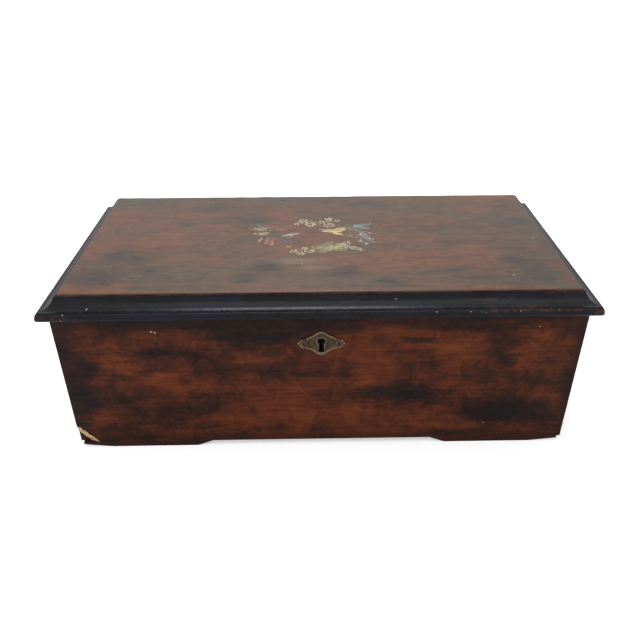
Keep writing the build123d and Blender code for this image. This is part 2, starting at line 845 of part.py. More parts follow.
def comb_base():
    # The casting under the comb: a foot on the bedplate, an upright web and a ledge for the steel.
    flange_top = bedplate_top + comb_flange
    points = [(comb_base_front, bedplate_top), (comb_base_back, bedplate_top), (comb_base_back, flange_top),
              (comb_base_front + 14, flange_top), (comb_base_front + 12, comb_underside - 8),
              (comb_base_front + 16, comb_underside - 4), (comb_base_front + 16, comb_underside),
              (comb_base_front, comb_underside)]
    base = prism_x(points, comb_left, comb_right)
    for x in comb_screw_x():
        base -= screw_bore(x, comb_screw_y, comb_underside, comb_screw_radius, 8.0)
    for x, y, z, radius, length in comb_base_screws():
        base -= screw_bore(x, y, z, radius, length)
    return base


def comb_screw_x():
    step = (comb_right - comb_left) / comb_screw_count
    return [comb_left + step * (index + 0.5) for index in range(comb_screw_count)]


def comb_base_screws():
    y = comb_base_back - 3.5
    middle = (comb_left + comb_right) / 2
    return [(x, y, bedplate_top + comb_flange, 1.5, 9.0) for x in (comb_left + 12, middle, comb_right - 12)]


def comb():
    # The steel comb: a thick back and thinner teeth whose roots run on a slant from bass to treble.
    plate_z0 = comb_underside
    plate_z1 = comb_underside + comb_thickness
    tooth_z1 = cylinder_axis_z + tooth_thickness / 2
    tooth_z0 = tooth_z1 - tooth_thickness
    run = comb_right - comb_left

    def root_y(x):
        share = (x - comb_left) / run
        return comb_tip_y - longest_tooth + (longest_tooth - shortest_tooth) * share

    back = prism_z([(comb_left, comb_back_y), (comb_right, comb_back_y), (comb_right, root_y(comb_right)),
                    (comb_left, root_y(comb_left))], plate_z0, plate_z1)
    points = [(comb_left, comb_back_y + 4), (comb_right, comb_back_y + 4)]
    for tooth in reversed(range(tooth_count)):
        x1 = comb_left + (tooth + 1) * tooth_pitch - tooth_slot / 2
        x0 = comb_left + tooth * tooth_pitch + tooth_slot / 2
        points += [(x1, root_y(x1) - 1), (x1, comb_tip_y - 1.2), (x1 - 0.6, comb_tip_y),
                   (x0 + 0.6, comb_tip_y), (x0, comb_tip_y - 1.2), (x0, root_y(x0) - 1)]
    steel = back + prism_z(points, tooth_z0, tooth_z1)
    for x in comb_screw_x():
        steel -= rod_z(comb_screw_radius + running_fit, plate_z0 - 1, plate_z1 + 1, x, comb_screw_y)
    return steel


def movement_screw_places():
    # Every machine screw that goes down into the bedplate: x, y, seat height, radius and length.
    places = [(x, y, bedplate_top, bedplate_screw_radius, bedplate_screw_length)
              for x, y in bedplate_screw_places]
    for x0, x1, axes, foot_side in cocks:
        for x, y, z in cock_screw_places(x0, x1, axes, foot_side):
            places.append((x, y, z, cock_screw_radius, 8.0))
    places += comb_base_screws()
    places += [(x, y, bedplate_top + governor_base, 1.3, 7.0) for x, y in governor_screw_places()]
    places += [(x, y, bedplate_top + 3.0, 1.3, 7.0) for x, y in control_screw_places()]
    return places


def movement_screws():
    screws = []
    for x, y, z, radius, length in movement_screw_places():
        screws.append(cheese_screw(x, y, z, radius * 1.9, radius * 1.1, radius, length))
    return group(*screws, *control_studs())


def comb_screws():
    z = comb_underside + comb_thickness
    screws = [cheese_screw(x, comb_screw_y, z, 3.0, 1.8, comb_screw_radius, 9.0) for x in comb_screw_x()]
    return group(*screws)


def cylinder():
    # The brass shell with its two end caps, which slides along the arbor to change the air.
    shell = rod_x(cylinder_radius, cylinder_left, cylinder_right, cylinder_axis_y, cylinder_axis_z)
    shell -= rod_x(cylinder_radius - cylinder_wall, cylinder_left + cap_thickness,
                   cylinder_right - cap_thickness, cylinder_axis_y, cylinder_axis_z)
    shell -= rod_x(arbor_radius + running_fit, cylinder_left - 1, cylinder_right + 1,
                   cylinder_axis_y, cylinder_axis_z)
    for x, angle in pin_places():
        shell -= pin_rod(x, angle, cylinder_radius - cylinder_wall - 0.5, cylinder_radius + 1)
    shell += rod_x(1.2, cylinder_right - 1, shift_pin_tip, snail_y, snail_z + snail_pin_radius)
    return shell


def pin_places():
    # A few of the music's pins, set out on a spiral round the shell.
    row_step = (cylinder_length - 16) / pin_rows
    places = []
    for row in range(pin_rows):
        for place in range(pins_in_row):
            angle = 360.0 / pins_in_row * place + 17.0 * row
            places.append((cylinder_left + 8 + row_step * (row + 0.5), angle))
    return places


def pin_rod(x, angle, inner, outer):
    rod = Pos(x, cylinder_axis_y, cylinder_axis_z) * Rot(angle, 0, 0) * Pos(0, 0, (inner + outer) / 2)
    return rod * Cylinder(pin_radius, outer - inner)


def cylinder_pins():
    inner = cylinder_radius - cylinder_wall
    return group(*[pin_rod(x, angle, inner, cylinder_radius + pin_height) for x, angle in pin_places()])


snail_offset = 14.0
snail_radius = 9.0
snail_pin_radius = 4.5
snail_base = 1.5
snail_right = great_wheel_left - moving_gap
snail_tallest = snail_right - snail_base - air_step * (airs - 1)
shift_pin_tip = snail_tallest - air_step
snail_y = cylinder_axis_y
snail_z = cylinder_axis_z + snail_offset


def snail():
    # The tune-change snail: a star wheel with one step in height for each air.
    star = wheel_outline(snail_right - snail_base, snail_y, snail_z, airs, snail_radius, snail_radius * 0.62,
                         90.0, 0.34, 0.8)
    shape = extrude(star, amount=snail_base, dir=(1, 0, 0))
    sector = 360.0 / airs
    face_radius = snail_radius * 0.86
    for air in range(airs):
        rise = air_step * (airs - 1 - air)
        if rise <= 0:
            continue
        start = math.radians(90 - sector / 2 + sector * air)
        middle = math.radians(90 + sector * air)
        end = math.radians(90 + sector / 2 + sector * air)
        x = snail_right - snail_base - rise
        centre = (x, snail_y, snail_z)
        ring = [(x, snail_y + face_radius * math.cos(a), snail_z + face_radius * math.sin(a))
                for a in (start, middle, end)]
        face = make_face([Line(centre, ring[0]), ThreePointArc(*ring), Line(ring[2], centre)])
        shape += extrude(face, amount=rise + 0.2, dir=(1, 0, 0))
    shape -= rod_x(1.2 + running_fit, snail_right - 9, snail_right + 1, snail_y, snail_z)
    return shape


def cylinder_arbor():
    # The arbor that carries the cylinder, with the drive pinion cut on its left end.
    arbor = rod_x(arbor_radius, left_cock_left - 7.5, right_cock_left + cock_thickness + 3,
                  cylinder_axis_y, cylinder_axis_z)
    pinion_left = barrel_right - barrel_wheel_width
    return arbor + gear(pinion_left - 0.5, drive_pinion_width, cylinder_axis_y, cylinder_axis_z,
                        drive_pinion_teeth, drive_module, 0.0)


def great_wheel():
    # The large brass wheel on the cylinder's arbor, with the stud on which the snail turns.
    wheel = gear(great_wheel_left, great_wheel_width, cylinder_axis_y, cylinder_axis_z, great_teeth,
                 great_module, first_axis_angle)
    hub_left = great_wheel_left + great_wheel_width
    wheel += rod_x(9.0, hub_left, hub_left + great_wheel_hub, cylinder_axis_y, cylinder_axis_z)
    wheel -= rod_x(arbor_radius, great_wheel_left - 1, great_wheel_left + 20,
                   cylinder_axis_y, cylinder_axis_z)
    for spoke in range(5):
        angle = math.radians(90 + 36 + 72 * spoke)
        wheel -= rod_x(5.0, great_wheel_left - 1, great_wheel_left + 9,
                       cylinder_axis_y + 18 * math.cos(angle), cylinder_axis_z + 18 * math.sin(angle))
    return wheel + rod_x(1.2, snail_tallest, great_wheel_left + 1, snail_y, snail_z)


def spring_barrel():
    # The going barrel, with its teeth round the right-hand end.
    wheel_left = barrel_right - barrel_wheel_width
    barrel = rod_x(barrel_radius, barrel_left, wheel_left, barrel_axis_y, barrel_axis_z)
    barrel += gear(wheel_left, barrel_wheel_width, barrel_axis_y, barrel_axis_z, barrel_teeth, drive_module,
                   gap_phase(180.0, barrel_teeth))
    barrel -= rod_x(barrel_radius - barrel_wall, barrel_left - 1, wheel_left, barrel_axis_y, barrel_axis_z)
    barrel -= rod_x(arbor_radius + running_fit, barrel_left - 1, barrel_right + 1,
                    barrel_axis_y, barrel_axis_z)
    return barrel


def barrel_cap():
    cap = rod_x(barrel_radius - barrel_wall, barrel_left, barrel_left + 2.5, barrel_axis_y, barrel_axis_z)
    return cap - rod_x(arbor_radius + running_fit, barrel_left - 1, barrel_left + 4,
                       barrel_axis_y, barrel_axis_z)


def mainspring():
    # A flat spiral made of half turns about two centres, a quarter of its pitch each side of the axis.
    x0 = barrel_left + 4.0
    x1 = barrel_right - barrel_wheel_width - 1.5
    shift = mainspring_pitch / 4

    def half_turns(extra):
        arcs = []
        for half in range(2 * mainspring_turns):
            side = 1 if half % 2 == 0 else -1
            centre = barrel_axis_y + side * shift
            radius = mainspring_inner_radius + extra + half * mainspring_pitch / 2
            start = (x0, centre - side * radius, barrel_axis_z)
            middle = (x0, centre, barrel_axis_z + side * radius)
            end = (x0, centre + side * radius, barrel_axis_z)
            arcs.append(ThreePointArc(start, middle, end))
        return arcs

    inner = half_turns(0.0)
    outer = half_turns(mainspring_thickness)
    ends = [Line(inner[0] @ 0, outer[0] @ 0), Line(inner[-1] @ 1, outer[-1] @ 1)]
    return extrude(make_face(inner + outer + ends), amount=x1 - x0, dir=(1, 0, 0))


def barrel_arbor():
    end = left_cock_left + cock_thickness + 3
    arbor = rod_x(arbor_radius, lever_left - 3.0, end, barrel_axis_y, barrel_axis_z)
    return arbor + rod_x(7.0, lever_left - 5.5, lever_left - 0.5, barrel_axis_y, barrel_axis_z)


def ratchet_wheel():
    # Saw teeth that lean one way; the wheel is fast on the barrel's arbor.
    step = 360.0 / ratchet_teeth
    points = []
    for tooth in range(ratchet_teeth):
        tip = math.radians(step * tooth)
        root = math.radians(step * (tooth + 0.12))
        for radius, angle in ((ratchet_radius, tip), (ratchet_radius - ratchet_tooth_depth, root)):
            points.append((barrel_axis_y + radius * math.cos(angle),
                           barrel_axis_z + radius * math.sin(angle)))
    wheel = prism_x(points, ratchet_left, ratchet_left + ratchet_width)
    hub_left = ratchet_left + ratchet_width
    wheel += rod_x(8.0, hub_left, hub_left + 2, barrel_axis_y, barrel_axis_z)
    return wheel - rod_x(arbor_radius, ratchet_left - 1, ratchet_left + 9, barrel_axis_y, barrel_axis_z)


# The lever is drawn level, pointing to the front, and then turned down to where it rests.
lever_tip_y = barrel_axis_y - lever_length
pawl_stud_angle = 152.0


def polar(radius, angle):
    along = math.radians(angle)
    return (barrel_axis_y + radius * math.cos(along), barrel_axis_z + radius * math.sin(along))


def winding_lever():
    points = [(barrel_axis_y, barrel_axis_z + lever_hub_radius - 1), (lever_tip_y, barrel_axis_z + 4.5),
              (lever_tip_y, barrel_axis_z - 4.5), (barrel_axis_y, barrel_axis_z - lever_hub_radius + 1)]
    right = lever_left + lever_thickness
    arm = prism_x(points, lever_left, right)
    arm += rod_x(lever_hub_radius, lever_left, right, barrel_axis_y, barrel_axis_z)
    arm += rod_x(6.0, lever_left, right, lever_tip_y, barrel_axis_z)
    stud_y, stud_z = polar(pawl_stud_distance, pawl_stud_angle)
    arm += prism_x([(barrel_axis_y - 30, barrel_axis_z), (stud_y - 4, stud_z + 3), (stud_y + 4, stud_z + 4),
                    (barrel_axis_y - 2, barrel_axis_z + 8)], lever_left, right)
    arm -= rod_x(arbor_radius + running_fit, lever_left - 1, right + 1, barrel_axis_y, barrel_axis_z)
    arm += rod_x(2.0, right, right + 5.5, stud_y, stud_z)
    arm += rod_x(2.5, lever_left - handle_length / 2, lever_left + 16, lever_tip_y, barrel_axis_z)
    return turned(arm, lever_rest_angle, barrel_axis_y, barrel_axis_z)


def winding_handle():
    # Two turned grips on one spindle, one each side of the lever's end.
    right = lever_left + lever_thickness

    def grip(x0, x1):
        middle = (x0 + x1) / 2
        outline = [Line((x0, 0, 0), (x0, 5.0, 0)),
                   ThreePointArc((x0, 5.0, 0), (middle, handle_radius, 0), (x1, 5.0, 0)),
                   Line((x1, 5.0, 0), (x1, 0, 0)), Line((x1, 0, 0), (x0, 0, 0))]
        turned_grip = revolve(make_face(outline), axis=Axis.X)
        bore = rod_x(2.5, x0 - 1, x1 + 1, lever_tip_y, barrel_axis_z)
        return Pos(0, lever_tip_y, barrel_axis_z) * turned_grip - bore

    pair = group(grip(lever_left - handle_length / 2, lever_left), grip(right, right + handle_length / 2 - 6))
    return turned(pair, lever_rest_angle, barrel_axis_y, barrel_axis_z)


def pawl_shape(stud_y, stud_z, tip_y, tip_z, x0, x1):
    # A pawl from its stud to a blunt nose, with a bore for the stud.
    along = math.atan2(tip_z - stud_z, tip_y - stud_y)
    across = along + math.pi / 2
    points = []
    corners = ((stud_y, stud_z, 3.4), (tip_y, tip_z, 0.9), (tip_y, tip_z, -0.9), (stud_y, stud_z, -3.4))
    for y, z, half in corners:
        points.append((y + half * math.cos(across), z + half * math.sin(across)))
    shape = prism_x(points, x0, x1) + rod_x(3.8, x0, x1, stud_y, stud_z)
    return shape - rod_x(2.0 + running_fit, x0 - 1, x1 + 1, stud_y, stud_z)


pawl_tip_radius = ratchet_radius + moving_gap + 1.1
pawl_tip_angle = 108.0
click_stud_distance = 25.0
click_stud_angle = -70.0
click_tip_angle = -24.0
pawl_inset = 0.3


def drive_pawl():
    stud = polar(pawl_stud_distance, pawl_stud_angle)
    tip = polar(pawl_tip_radius, pawl_tip_angle)
    pawl = pawl_shape(*stud, *tip, ratchet_left - lever_gap + pawl_inset, ratchet_left + ratchet_width - 0.5)
    return turned(pawl, lever_rest_angle, barrel_axis_y, barrel_axis_z)


def click():
    stud = polar(click_stud_distance, click_stud_angle)
    tip = polar(pawl_tip_radius, click_tip_angle)
    return pawl_shape(*stud, *tip, ratchet_left, ratchet_left + ratchet_width)


click_plate_thickness = 3.0


def click_plate_screw_places():
    stud_y, stud_z = polar(click_stud_distance, click_stud_angle)
    return [(stud_y - 9, stud_z), (stud_y + 9, stud_z)]


def click_plate():
    # The plate on the inner wall that carries the click's stud, with its two screws.
    stud_y, stud_z = polar(click_stud_distance, click_stud_angle)
    x0 = left_wall_left - click_plate_thickness
    plate = block(x0, left_wall_left, stud_y - 14, stud_y + 14, stud_z - 6, stud_z + 6)
    plate += rod_x(2.0, ratchet_left - 0.5, x0 + 1, stud_y, stud_z)
    plate += rod_x(3.6, ratchet_left + ratchet_width + moving_gap, x0 + 1, stud_y, stud_z)
    for y, z in click_plate_screw_places():
        plate += rod_x(2.4, x0 - 1.4, x0, y, z)
        plate += rod_x(1.2, x0, left_wall_left + 5, y, z)
    return plate


governor_front = first_y - 5.0
governor_top = max(first_z, second_z) + 9.0
column_front = endless_y + fly_radius + 1.3
column_back = governor_back
column_top = 99.0
endless_bottom = 47.0
arm_thickness = 3.0


def governor_screw_places():
    middle_x = (governor_left + governor_right) / 2
    return [(middle_x - 6, governor_front + 5), (middle_x + 7, governor_front + 10),
            (middle_x - 5, governor_back - 6)]


def governor_frame():
    # The governor's cock: a base, a plate each side of the train, and a column whose two arms hold the fly.
    z0 = bedplate_top
    frame = block(governor_left, governor_right, governor_front, governor_back, z0, z0 + governor_base)
    for x0 in (governor_left, governor_right - governor_plate):
        frame += block(x0, x0 + governor_plate, governor_front, second_y + 8, z0, governor_top)
    frame += block(endless_x - 4, endless_x + 4, column_front, column_back, z0, column_top)
    for low in (endless_bottom - arm_thickness, column_top - arm_thickness):
        top = low + arm_thickness
        frame += block(endless_x - 3, endless_x + 3, endless_y - 3, column_front + 1, low, top)
        frame -= rod_z(train_pivot_radius + running_fit, low - 1, top + 1, endless_x, endless_y)
    for y, z in ((first_y, first_z), (second_y, second_z)):
        frame -= rod_x(train_pivot_radius + running_fit, governor_left - 1, governor_right + 1, y, z)
    for x, y in governor_screw_places():
        frame -= rod_z(1.3 + running_fit, z0 - 1, z0 + governor_base + 1, x, y)
    return frame


def train_arbor(y, z):
    inner = rod_x(train_arbor_radius, governor_left + governor_plate + moving_gap,
                  governor_right - governor_plate - moving_gap, y, z)
    return inner + rod_x(train_pivot_radius, governor_left - 0.5, governor_right + 0.5, y, z)


def first_wheel():
    # The first arbor of the governor: a pinion in the great wheel and a brass wheel beyond it.
    wheel = train_arbor(first_y, first_z)
    wheel += gear(great_wheel_left - 0.3, great_wheel_width + 0.6, first_y, first_z, first_pinion_teeth,
                  great_module, gap_phase(first_axis_angle + 180.0, first_pinion_teeth), 0.8, 0.2, 0.52)
    wheel += gear(first_wheel_left, train_wheel_width, first_y, first_z, first_wheel_teeth, train_module,
                  second_axis_angle, 0.65)
    return wheel


def second_wheel():
    # The second arbor: a small pinion, and the wheel whose slanted teeth drive the endless screw.
    wheel = train_arbor(second_y, second_z)
    wheel += gear(first_wheel_left - 0.4, train_wheel_width + 0.8, second_y, second_z, second_pinion_teeth,
                  train_module,
                  gap_phase(second_axis_angle + 180.0, second_pinion_teeth), 0.7, 0.2, 0.5)
    pitch_radius = train_module * endless_wheel_teeth / 2
    lead_slope = endless_starts * endless_pitch / (2 * math.pi * endless_pitch_radius)
    twist = math.degrees(lead_slope * endless_wheel_width / pitch_radius)
    outline = wheel_outline(endless_wheel_left, second_y, second_z, endless_wheel_teeth, pitch_radius + 0.3,
                            pitch_radius - 0.75, -twist / 2, 0.18, 0.5)
    middle = (endless_wheel_left, second_y, second_z)
    teeth = Solid.extrude_linear_with_rotation(outline.face(), center=middle,
                                               normal=Vector(endless_wheel_width, 0, 0), angle=twist)
    return wheel + teeth


def endless_screw():
    # A two-start right-hand screw on a vertical arbor.
    crest_share, root_share = 0.2, 0.5
    half_turns = 5
    z0 = second_z - half_turns * endless_pitch
    length = 2 * half_turns * endless_pitch
    step = 360.0 / endless_starts

    def place(radius, angle):
        a = math.radians(angle)
        return (endless_x + radius * math.cos(a), endless_y + radius * math.sin(a), z0)

    edges = []
    for start in range(endless_starts):
        middle = start * step
        low, high = middle - step * crest_share / 2, middle + step * crest_share / 2
        foot, far_foot = middle - step * root_share / 2, middle + step * root_share / 2
        next_foot = middle + step - step * root_share / 2
        edges.append(Line(place(endless_root_radius, foot), place(endless_tip_radius, low)))
        edges.append(ThreePointArc(place(endless_tip_radius, low), place(endless_tip_radius, middle),
                                   place(endless_tip_radius, high)))
        edges.append(Line(place(endless_tip_radius, high), place(endless_root_radius, far_foot)))
        edges.append(ThreePointArc(place(endless_root_radius, far_foot),
                                   place(endless_root_radius, (far_foot + next_foot) / 2),
                                   place(endless_root_radius, next_foot)))
    section = make_face(edges)
    lead = endless_starts * endless_pitch
    thread = Solid.extrude_linear_with_rotation(section.face(), center=(endless_x, endless_y, z0),
                                                normal=Vector(0, 0, length), angle=360.0 * length / lead)
    shaft_top = column_top - arm_thickness - moving_gap
    shaft = rod_z(endless_root_radius - 0.1, endless_bottom + moving_gap, shaft_top, endless_x, endless_y)
    pivots = rod_z(train_pivot_radius, endless_bottom - arm_thickness, column_top, endless_x, endless_y)
    return shaft + thread + pivots


fly_z0 = 76.5


def fly():
    # Two thin brass vanes on a collet.
    collet = rod_z(2.2, fly_z0 + fly_height / 2 - 2, fly_z0 + fly_height / 2 + 2, endless_x, endless_y)
    vanes = block(endless_x - fly_radius, endless_x + fly_radius, endless_y - fly_thickness / 2,
                  endless_y + fly_thickness / 2, fly_z0, fly_z0 + fly_height)
    bore = rod_z(endless_root_radius - 0.1, fly_z0 - 1, fly_z0 + fly_height + 1, endless_x, endless_y)
    return vanes + collet - bore


control_bracket_front = change_lever_y - 9.0
control_bracket_back = start_lever_y + 14.0
control_shelf = 3.0
control_wall_x = bedplate_right - control_bracket_width


def control_screw_places():
    return [(control_pivot_x, y) for y in (change_lever_y, start_lever_y)]


def control_bracket():
    # The bracket on the bedplate that carries the two control levers.
    right = bedplate_right
    z1 = control_height - moving_gap
    front, back = control_bracket_front, control_bracket_back
    bracket = block(control_wall_x, right, front, back, bedplate_top, bedplate_top + 3.0)
    bracket += block(control_wall_x, control_wall_x + 3, front, back, bedplate_top, z1)
    bracket += block(control_wall_x, right, front, back, z1 - control_shelf, z1)
    for x, y in control_screw_places():
        bracket -= rod_z(1.3 + running_fit, bedplate_top - 1, bedplate_top + 4, x, y)
        bracket -= rod_z(2.0 + running_fit, z1 - control_shelf - 1, z1 + 1, x, y)
    return bracket


def control_studs():
    # The shouldered screws on which the control levers turn.
    z1 = control_height - moving_gap
    studs = []
    for x, y in control_screw_places():
        stud = rod_z(2.0, z1 - control_shelf, control_height + control_thickness + moving_gap, x, y)
        head_z = control_height + control_thickness + moving_gap
        studs.append(stud + rod_z(3.8, head_z, head_z + 1.5, x, y))
    return studs


def control_lever(y):
    # A flat brass lever with a turned finger knob at its end and a short tail.
    z0, z1 = control_height, control_height + control_thickness
    lever = block(control_pivot_x, control_tab_x, y - 3.5, y + 3.5, z0, z1)
    lever += rod_z(6.0, z0, z1, control_pivot_x, y)
    lever += block(control_pivot_x - 14, control_pivot_x, y - 2, y + 2, z0, z1)
    lever += rod_z(5.5, z0, z1, control_tab_x - 2, y)
    lever += rod_z(2.2, z1, z1 + 5, control_tab_x - 2, y)
    lever += Pos(control_tab_x - 2, y, z1 + 7.5) * Sphere(4.2)
    return lever - rod_z(2.0 + running_fit, z0 - 1, z1 + 1, control_pivot_x, y)


def tune_card():
    middle_y = (panel_front + case_back) / 2
    return block(-card_width / 2, card_width / 2, middle_y - card_depth / 2, middle_y + card_depth / 2,
                 lid_panel_underside - card_thickness, lid_panel_underside)


sub_parts = {
    "front_board": front_board,
    "back_board": back_board,
    "left_board": lambda: side_board(-1),
    "right_board": lambda: side_board(1),
    "bottom_board": bottom_board,
    "feet": feet,
    "escutcheon": escutcheon,
    "escutcheon_nails": escutcheon_nails,
    "lock_case": lock_case,
    "lock_bolt": lock_bolt,
    "case_hinge_leaves": case_hinge_leaves,
    "case_hinge_screws": lambda: hinge_screws(True),
    "hinge_pins": hinge_pins,
    "left_partition": left_partition,
    "right_partition": right_partition,
    "slot_plate": slot_plate,
    "bearers": bearers,
    "bedplate": bedplate,
    "barrel_cock": lambda: cock(*cocks[0]),
    "left_cock": lambda: cock(*cocks[1]),
    "right_cock": lambda: cock(*cocks[2]),
    "comb_base": comb_base,
    "comb": comb,
    "comb_screws": comb_screws,
    "movement_screws": movement_screws,
    "governor_frame": governor_frame,
    "click_plate": click_plate,
    "control_bracket": control_bracket,
    "lid_panel": lid_panel,
    "lid_frame": lid_frame,
    "front_moulding": front_moulding,
    "side_mouldings": side_mouldings,
    "lid_hinge_leaves": lid_hinge_leaves,
    "lid_hinge_screws": lambda: hinge_screws(False),
    "strike_plate": strike_plate,
    "tune_card": tune_card,
    "glass_frame": glass_frame,
    "glass_pane": glass_pane,
    "glass_pivots": glass_pivots,
    "glass_pull": glass_pull,
    "winding_lever": winding_lever,
    "winding_handle": winding_handle,
    "drive_pawl": drive_pawl,
    "click": click,
    "barrel_arbor": barrel_arbor,
    "ratchet_wheel": ratchet_wheel,
    "spring_barrel": spring_barrel,
    "barrel_cap": barrel_cap,
    "mainspring": mainspring,
    "cylinder_arbor": cylinder_arbor,
    "great_wheel": great_wheel,
    "cylinder": cylinder,
    "cylinder_pins": cylinder_pins,
    "snail": snail,
    "first_wheel": first_wheel,
    "second_wheel": second_wheel,
    "endless_screw": endless_screw,
    "fly": fly,
    "start_lever": lambda: control_lever(start_lever_y),
    "change_lever": lambda: control_lever(change_lever_y),
}

for name, make in sub_parts.items():
    save(make(), name)
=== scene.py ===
import json
import math

import bmesh
import bpy
import numpy as np
from mathutils import Matrix, Vector

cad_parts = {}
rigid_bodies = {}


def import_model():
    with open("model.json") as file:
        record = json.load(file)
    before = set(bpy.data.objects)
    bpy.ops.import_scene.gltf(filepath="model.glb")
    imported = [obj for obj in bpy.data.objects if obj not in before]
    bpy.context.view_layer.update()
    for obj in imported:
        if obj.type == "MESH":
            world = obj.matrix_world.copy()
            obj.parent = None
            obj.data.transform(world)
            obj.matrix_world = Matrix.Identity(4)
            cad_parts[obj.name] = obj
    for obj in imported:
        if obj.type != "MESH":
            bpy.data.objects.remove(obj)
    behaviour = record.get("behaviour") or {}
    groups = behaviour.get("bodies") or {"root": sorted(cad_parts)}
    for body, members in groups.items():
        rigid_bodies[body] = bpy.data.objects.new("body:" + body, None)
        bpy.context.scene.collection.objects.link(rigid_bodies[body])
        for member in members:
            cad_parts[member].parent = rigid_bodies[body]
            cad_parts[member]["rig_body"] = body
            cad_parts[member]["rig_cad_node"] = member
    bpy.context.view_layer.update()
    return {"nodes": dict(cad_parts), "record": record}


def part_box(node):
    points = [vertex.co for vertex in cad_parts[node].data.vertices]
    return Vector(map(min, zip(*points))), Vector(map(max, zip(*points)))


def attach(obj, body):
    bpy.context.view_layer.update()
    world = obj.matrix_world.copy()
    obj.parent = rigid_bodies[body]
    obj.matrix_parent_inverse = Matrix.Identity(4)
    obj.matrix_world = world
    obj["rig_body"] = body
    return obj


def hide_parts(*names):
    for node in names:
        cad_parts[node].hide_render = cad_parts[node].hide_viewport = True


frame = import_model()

mm = 0.001
scene = bpy.context.scene
nodes = frame["nodes"]
print("frame loaded:", len(nodes), "nodes")


def corners(node):
    # lowest and highest corner of a CAD node, as numpy arrays in metres
    low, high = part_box(node)
    return np.array(low), np.array(high)


# Meshes

def makeMesh(name, points, faces, material, smooth=True, values=None):
    # points (n, 3) and faces (m, 4) become one object; values are named numbers or colours, one per point
    mesh = bpy.data.meshes.new(name)
    points = np.asarray(points, float).reshape(-1, 3)
    mesh.from_pydata(points, [], faces, shade_flat=not smooth)
    mesh.validate()
    for key, numbers in (values or {}).items():
        numbers = np.asarray(numbers, float)
        isColour = numbers.size == 4 * len(points)
        layer = mesh.attributes.new(key, "FLOAT_COLOR" if isColour else "FLOAT", "POINT")
        layer.data.foreach_set("color" if isColour else "value", numbers.ravel())
    mesh.materials.append(material)
    piece = bpy.data.objects.new(name, mesh)
    scene.collection.objects.link(piece)
    return piece


def gridFaces(rows, columns, closeRows=False, closeColumns=False):
    # the quads between neighbours of a rows x columns grid, joined round where it closes
    i, j = np.meshgrid(np.arange(rows - (not closeRows)), np.arange(columns - (not closeColumns)), indexing="ij")
    i2, j2 = (i + 1) % rows, (j + 1) % columns
    return np.stack([i * columns + j, i2 * columns + j, i2 * columns + j2, i * columns + j2], -1).reshape(-1, 4)


def refine(piece, merge=1e-6, facets=0, close=False, sharp=0):
    # merges points this near, melts facets flatter than this many degrees, closes open ends, turns all faces
    # outwards, and shades smooth over edges that turn less than the last number of degrees
    shape = bmesh.new()
    shape.from_mesh(piece.data)
    if merge:
        bmesh.ops.remove_doubles(shape, verts=shape.verts, dist=merge)
    if facets:
        bmesh.ops.dissolve_limit(shape, angle_limit=math.radians(facets), verts=shape.verts, edges=shape.edges)
    if close:
        bmesh.ops.holes_fill(shape, edges=[edge for edge in shape.edges if edge.is_boundary], sides=0)
    bmesh.ops.recalc_face_normals(shape, faces=shape.faces)
    if sharp:
        for edge in shape.edges:
            edge.smooth = edge.is_manifold and edge.calc_face_angle(0) < math.radians(sharp)
    shape.to_mesh(piece.data)
    shape.free()


def applyModifiers(piece):
    depsgraph = bpy.context.evaluated_depsgraph_get()
    mesh = bpy.data.meshes.new_from_object(piece.evaluated_get(depsgraph))
    piece.modifiers.clear()
    piece.data = mesh


def shadeSmooth(piece, sharp):
    # smooth but for the edges that turn more than this; the large faces stay flat
    piece.data.shade_smooth()
    refine(piece, 0, sharp=sharp)
    weigh = piece.modifiers.new("weigh", "WEIGHTED_NORMAL")
    weigh.weight, weigh.keep_sharp = 100, True
    applyModifiers(piece)


def waves(x, y, seed, size, count=7):
    # a smooth uneven field between about -1 and 1: sines of random direction and phase, of about one size
    random = np.random.default_rng(seed)
    total = np.zeros(np.broadcast(x, y).shape)
    for _ in range(count):
        angle, phase = random.uniform(0, 2 * math.pi, 2)
        turns = 2 * math.pi / (size * random.uniform(0.6, 1.7))
        total = total + np.sin((x * math.cos(angle) + y * math.sin(angle)) * turns + phase)
    return total / math.sqrt(count * 2)


easing = {"boards": 0.7 * mm, "inside": 0.5 * mm, "steps": 2, "turn": 38}


def softened(node, width):
    # a copy of a CAD node with its facets merged, its arrises eased and its curved faces smooth
    copy = nodes[node].copy()
    copy.data = nodes[node].data.copy()
    copy.name = node + "Eased"
    copy.parent = None
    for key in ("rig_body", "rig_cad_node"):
        if key in copy:
            del copy[key]
    scene.collection.objects.link(copy)
    refine(copy, 2e-6, facets=1.0)
    bevel = copy.modifiers.new("ease", "BEVEL")
    bevel.width, bevel.segments = width, easing["steps"]
    bevel.limit_method, bevel.angle_limit = "ANGLE", math.radians(easing["turn"])
    applyModifiers(copy)
    shadeSmooth(copy, easing["turn"])
    return copy


# Materials

class Value:
    # the output of a shader node, to calculate with like a number
    def __init__(self, socket):
        self.socket = socket

    def __add__(self, other):
        return calc("ADD", self, other)

    def __sub__(self, other):
        return calc("SUBTRACT", self, other)

    def __rsub__(self, other):
        return calc("SUBTRACT", other, self)

    def __mul__(self, other):
        return calc("MULTIPLY", self, other)


def plug(tree, node, key, value):
    if isinstance(value, Value):
        tree.links.new(value.socket, node.inputs[key])
    else:
        node.inputs[key].default_value = value


def add(tree, kind, inputs=None, output=0, **settings):
    # an output of a new node; inputs are numbers, colours or Values by name or place, settings the node's own
    node = tree.nodes.new(kind)
    for key, value in settings.items():
        setattr(node, key, value)
    for key, value in (inputs or {}).items():
        plug(tree, node, key, value)
    return Value(node.outputs[output])


def calc(operation, *terms):
    # a math node over one or two terms, one of them at least a Value
    tree = next(term for term in terms if isinstance(term, Value)).socket.id_data
    return add(tree, "ShaderNodeMath", dict(enumerate(terms)), operation=operation)


